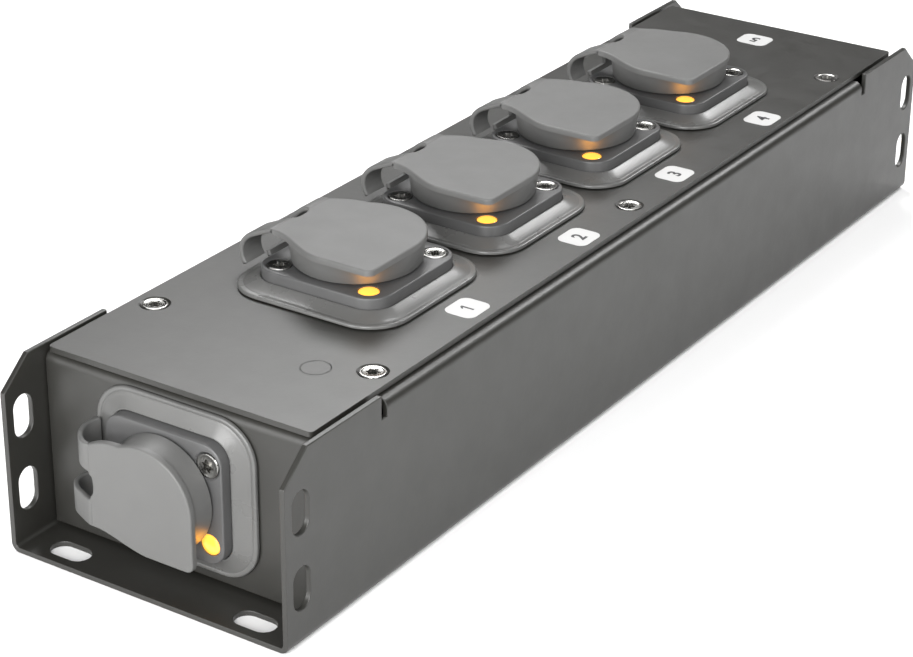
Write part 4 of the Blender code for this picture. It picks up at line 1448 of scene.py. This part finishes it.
    def build(self, screw: bpy.types.Mesh) -> None:
        """Shows every piece of the connector.

        Args:
            screw: mesh of the flange screw, level with z = 0.
        """
        size = self.size
        name = self.name
        piece(f"{name}_seal", self.place(self.pad_mesh()), [PAD_RUBBER], BOX, f"{name}_pad")
        piece(f"{name}_shell", self.place(self.housing_mesh()), [HOUSING], BOX, f"{name}_housing")
        piece(f"{name}_core", self.place(self.insert_mesh()), [INSERT], BOX, f"{name}_insert")
        face = self.insert_face
        blades = self.blades_mesh(face - 2.6 * MM, face - 0.5 * MM, self.blade_inset)
        piece(f"{name}_contacts", self.place(blades), [BRASS], BOX)
        piece(f"{name}_lamp", self.place(self.lens_mesh()), [LENS], BOX, f"{name}_lens")
        for number, side in enumerate((-1, 1), start=1):
            copy = screw.copy()
            copy.transform(Matrix.Rotation(math.radians(self.screw_turn * number), 4, "Z"))
            copy.transform(at(side * size.screw[0], side * size.screw[1], self.flange_top))
            piece(f"{name}_fixing_{number}", self.place(copy), [NICKEL], BOX, f"{name}_screw_{number}")
        piece(f"{name}_cover_cap", self.place(self.cap_mesh()), [CAP_RUBBER, PAINTED_SHADE_WALL_RUBBER], self.lid,
              f"{name}_cap")
        loops = shown(f"{name}_hinge_loops", self.place(self.strap_mesh()), [CAP_RUBBER, PAINTED_SHADE_STRAP_INSIDE])
        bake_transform(loops)
        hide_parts(f"{name}_cap_straps")


def connector_frame(origin: Place, outward: Vector) -> Matrix:
    """Makes a connector's frame: x along the box's X, z outwards.

    Args:
        origin: the middle of its opening, on the plate's outer face.
        outward: the direction out of the plate.

    Returns:
        The frame.
    """
    x_axis = Vector((1.0, 0.0, 0.0))
    rotation = Matrix((x_axis, outward.cross(x_axis), outward)).transposed().to_4x4()
    return Matrix.Translation(origin) @ rotation


# Marks on the cover

@dataclass
class NumberLabel:
    """A white film with a plain number.

    Attributes:
        number: the number.
        centre: the film's middle on the cover.
        turn: the number's turn, in degrees.
        half: the film's half sizes.
        fillet: its corners' radius.
        digit_height: height of the number.
        level: height of the cover's top.
        film: thickness of the film.
        ink: thickness of the ink.
        lift: gap between the ink and the film.
    """

    number: int
    centre: Pair
    turn: float = 90.0
    half: Pair = (4.05 * MM, 3.6 * MM)
    fillet: float = 1.9 * MM
    digit_height: float = 3.1 * MM
    level: float = 41.0 * MM
    film: float = 0.08 * MM
    ink: float = 0.02 * MM
    lift: float = 0.002 * MM

    def drawn_one(self) -> bpy.types.Mesh:
        """The 1 with its flag, which the font leaves out."""
        tall = self.digit_height / 2
        wide = 0.085 * self.digit_height
        flag = -3.4 * wide
        foot = self.film + self.lift
        outline = [(-wide, -tall), (wide, -tall), (wide, tall), (-wide, tall), (flag, 0.62 * tall),
                   (flag, 0.28 * tall), (-wide, 0.56 * tall)]
        bm, _ = outline_prism(outline, foot, foot + self.ink)
        return to_mesh(bm, "digit")

    def digit_mesh(self) -> bpy.types.Mesh:
        """The number as flat black ink, centred on its own middle."""
        if self.number == 1:
            return self.drawn_one()
        text = bpy.data.curves.new("digit", "FONT")
        text.body = str(self.number)
        text.size = self.digit_height / 0.7
        text.offset = 0.028 * text.size
        text.extrude = self.ink / 2
        text.resolution_u = 8
        mesh = applied(helper_object(text))
        corners = [vert.co for vert in mesh.vertices]
        middle = [(min(c[k] for c in corners) + max(c[k] for c in corners)) / 2 for k in (0, 1)]
        mesh.transform(at(-middle[0], -middle[1], self.film + self.lift + self.ink / 2))
        bm = bmesh.new()
        bm.from_mesh(mesh)
        bmesh.ops.remove_doubles(bm, verts=bm.verts, dist=0.002 * MM)
        bm.to_mesh(mesh)
        bm.free()
        return mesh

    def build(self) -> None:
        """Shows the film and its number."""
        matrix = at(*self.centre, self.level) @ Matrix.Rotation(math.radians(self.turn), 4, "Z")
        bm, face = rounded_outline(self.half, self.fillet, 0.0, 8)
        raised(bm, face, self.film)
        film = to_mesh(bm, "film")
        film.transform(matrix)
        piece(f"label_{self.number}", film, [LABEL], BOX)
        digit = self.digit_mesh()
        digit.transform(matrix)
        piece(f"digit_{self.number}", digit, [INK], BOX)


@dataclass
class StudMark:
    """Ring that the earth stud's weld leaves on the cover.

    Attributes:
        centre: the ring's middle on the cover.
        radius: its mean radius.
        line: half the width of the line.
        height: its height.
        level: height of the cover's top.
    """

    centre: Pair = (16.8 * MM, -102.3 * MM)
    radius: float = 3.0 * MM
    line: float = 0.08 * MM
    height: float = 0.04 * MM
    level: float = 41.0 * MM

    def build(self) -> None:
        """Shows the ring as a thin line."""
        bm = bmesh.new()
        inner = circle_edges(bm, self.radius - self.line, 0.0, 64)
        outer = circle_edges(bm, self.radius + self.line, 0.0, 64)
        bridged(bm, inner, outer)
        bmesh.ops.recalc_face_normals(bm, faces=bm.faces)
        bmesh.ops.solidify(bm, geom=bm.faces, thickness=self.height)
        mesh = to_mesh(bm, "mark")
        mesh.transform(at(*self.centre, self.level))
        piece("stud_mark", mesh, [STUD_MARK], BOX)


# Studio

GLOW_SIZE = (3.2 * MM, 3.2 * MM)
GLOW_POWER = 0.0006
GLOW_COLOUR = (1.0, 0.4, 0.03)


@dataclass
class Softbox:
    """A rectangular light that looks at a point.

    Attributes:
        name: its name.
        place: where it stands.
        aim: the point that it looks at.
        size: its width and height.
        power: its power in watts.
        colour: its colour.
        seen: whether the camera sees it.
    """

    name: str
    place: Place
    aim: Place
    size: Pair
    power: float
    colour: Colour = (1.0, 1.0, 1.0)
    seen: bool = True

    def build(self) -> None:
        """Adds the light."""
        light = bpy.data.lights.new(self.name, "AREA")
        light.shape = "RECTANGLE"
        light.size, light.size_y = self.size
        light.energy = self.power
        light.color = self.colour
        made = bpy.data.objects.new(self.name, light)
        made.location = self.place
        direction = Vector(self.aim) - Vector(self.place)
        made.rotation_euler = direction.to_track_quat("-Z", "Y").to_euler()
        made.visible_camera = self.seen
        bpy.context.scene.collection.objects.link(made)


@dataclass
class Studio:
    """Pale floor, soft light and the camera at the photograph's angle.

    Attributes:
        azimuth: the camera's turn round Z, in degrees.
        elevation: its angle above the horizon, in degrees.
        roll: its roll, in degrees.
        focal_px: focal length in pixels of the photograph.
        image_width: width of the photograph in pixels.
        sensor: width of the camera's sensor in mm.
        offset: how far the camera is shifted left and down, seen along its view.
        distance: its distance from the origin.
        sky: strength of the white sky.
        lights: the lights.
    """

    azimuth: float = 33.235
    elevation: float = 25.895
    roll: float = 0.476
    focal_px: float = 2558.25
    image_width: float = 913.0
    sensor: float = 36.0
    offset: Pair = (15.229 * MM, -3.314 * MM)
    distance: float = 590.672 * MM
    sky: float = 0.04
    lights: list[Softbox] = field(default_factory=lambda: [
        Softbox("overhead", (0.0, 0.15, 1.6), (0.0, 0.15, 0.0), (2.3, 2.3), 7.0),
        Softbox("lid_panel", (-0.22, 0.235, 0.46), (0.0, -0.04, 0.04), (0.28, 0.24), 2.6),
        Softbox("back", (0.13, 0.75, 0.65), (0.0, -0.05, 0.04), (0.26, 0.22), 4.0),
        Softbox("front_key", (-0.3, -1.25, 0.3), (0.0, -0.1, 0.03), (0.6, 0.6), 11.5),
        Softbox("front_right", (0.25, -0.75, 0.35), (0.0, -0.1, 0.03), (0.3, 0.5), 7.0),
        Softbox("right", (0.95, -0.55, 0.6), (0.0, -0.03, 0.04), (0.6, 0.6), 8.0),
    ])

    def camera(self) -> None:
        """Adds the camera."""
        a, e = math.radians(self.azimuth), math.radians(self.elevation)
        right = Vector((math.cos(a), math.sin(a), 0.0))
        back = Vector((math.sin(a) * math.cos(e), -math.cos(a) * math.cos(e), math.sin(e)))
        up = back.cross(right)
        turn = math.radians(self.roll)
        right, up = (right * math.cos(turn) + up * math.sin(turn),
                     up * math.cos(turn) - right * math.sin(turn))
        data = bpy.data.cameras.new("camera")
        data.sensor_width = self.sensor
        data.lens = self.sensor * self.focal_px / self.image_width
        data.clip_start = 0.01
        made = bpy.data.objects.new("camera", data)
        matrix = Matrix((right, up, back)).transposed().to_4x4()
        matrix.translation = back * self.distance - right * self.offset[0] - up * self.offset[1]
        made.matrix_world = matrix
        bpy.context.scene.collection.objects.link(made)
        bpy.context.scene.camera = made

    def floor(self) -> None:
        """Adds the floor."""
        bm = bmesh.new()
        bmesh.ops.create_grid(bm, x_segments=1, y_segments=1, size=4.0)
        made = bpy.data.objects.new("floor", to_mesh(bm, "floor", recalc=False))
        made.data.materials.append(PAPER.material())
        bpy.context.scene.collection.objects.link(made)

    def build(self) -> None:
        """Adds the floor, the sky, the lights and the camera."""
        world = bpy.data.worlds.new("studio")
        world.use_nodes = True
        background = world.node_tree.nodes["Background"]
        background.inputs["Color"].default_value = (1.0, 1.0, 1.0, 1.0)
        background.inputs["Strength"].default_value = self.sky
        bpy.context.scene.world = world
        bpy.context.scene.view_settings.view_transform = "Standard"
        self.floor()
        self.camera()
        for light in self.lights:
            light.build()


# The whole box

OUTLET_PITCH = 43.3 * MM
END_LEVEL = 21.2 * MM
OPENING_GAP = 0.5 * MM
FLANGE_SCREW = Screw(2.6 * MM, 1.4 * MM, 10.0 * MM)
COVER_SCREW = Screw(2.7 * MM, 1.5 * MM, 7.0 * MM)
FLUSH_SCREW_TURN = 37.0
LABEL_PLACES = ((26.2 * MM, -63.9 * MM), (26.5 * MM, -21.1 * MM), (26.2 * MM, 21.2 * MM),
                (26.6 * MM, 63.2 * MM))
LAST_LABEL_PLACE = (-0.7 * MM, 112.0 * MM)


def lamp_glow(connector: Connector) -> None:
    """Adds the warm light that a lit lens throws on the cap's wall beside it.

    Args:
        connector: the connector that the lens belongs to.
    """
    x, y = connector.size.lens
    low = connector.frame @ Vector((x, -y, connector.flange_top + 0.45 * MM))
    high = connector.frame @ Vector((x - 1.0 * MM, 1.0 * MM - y, connector.flange_top + 3.0 * MM))
    Softbox(f"{connector.name}_glow", tuple(low), tuple(high), GLOW_SIZE, GLOW_POWER, GLOW_COLOUR,
            seen=False).build()


def dress_hidden_nodes() -> None:
    """Gives the CAD nodes that stay inside the box their finishes."""
    for name, finish in (("wiring_loom", SLEEVE), ("earth_stud", NICKEL)):
        node = frame["nodes"][name]
        for slot in node.material_slots:
            slot.material = finish.material()


def connectors_of(box: FoldedBox, rows: list[float], level: float) -> list[Connector]:
    """Lists the inlet and the five outlets.

    Args:
        box: the box that carries them.
        rows: places of the outlets on top, along Y.
        level: height of the connectors on the end plates.

    Returns:
        The connectors from front to rear.
    """
    up = Vector((0.0, 0.0, 1.0))
    along = Vector((0.0, 1.0, 0.0))
    connectors = [Connector("inlet", END_TYPE, connector_frame((0.0, -box.face_y, level), -along))]
    connectors += [Connector(f"outlet_{number}", OUTLET, connector_frame((0.0, row, box.height), up))
                   for number, row in enumerate(rows, start=1)]
    connectors.append(Connector("outlet_5", END_TYPE, connector_frame((0.0, box.face_y, level), along)))
    return connectors


def build_flush_screws(box: FoldedBox) -> None:
    """Shows the cover's screws, each with its recess turned its own way.

    Args:
        box: the box that the cover belongs to.
    """
    mesh = COVER_SCREW.mesh()
    for number, place in enumerate(box.screw_places(), start=1):
        copy = mesh.copy()
        turn = Matrix.Rotation(math.radians(FLUSH_SCREW_TURN * number), 4, "Z")
        copy.transform(at(*place, box.height - box.screw_drop) @ turn)
        piece(f"flush_screw_{number}", copy, [NICKEL], BOX, f"cover_screw_{number}")


def main() -> None:
    """Builds the box, its connectors, its marks and the studio."""
    logging.basicConfig(level=logging.INFO, format="%(name)s %(message)s")
    rows = [(row - 1.5) * OUTLET_PITCH for row in range(4)]
    box = FoldedBox()
    openings = [(OUTLET.barrel + OPENING_GAP, row) for row in rows]
    box.build(openings, (END_TYPE.barrel + OPENING_GAP, END_LEVEL))
    screw = FLANGE_SCREW.mesh()
    for connector in connectors_of(box, rows, END_LEVEL):
        connector.build(screw)
        lamp_glow(connector)
    build_flush_screws(box)
    for number, centre in enumerate(LABEL_PLACES, start=1):
        NumberLabel(number, centre).build()
    NumberLabel(5, LAST_LABEL_PLACE, turn=180.0).build()
    StudMark().build()
    dress_hidden_nodes()
    Studio().build()


if __name__ == "__main__":
    main()
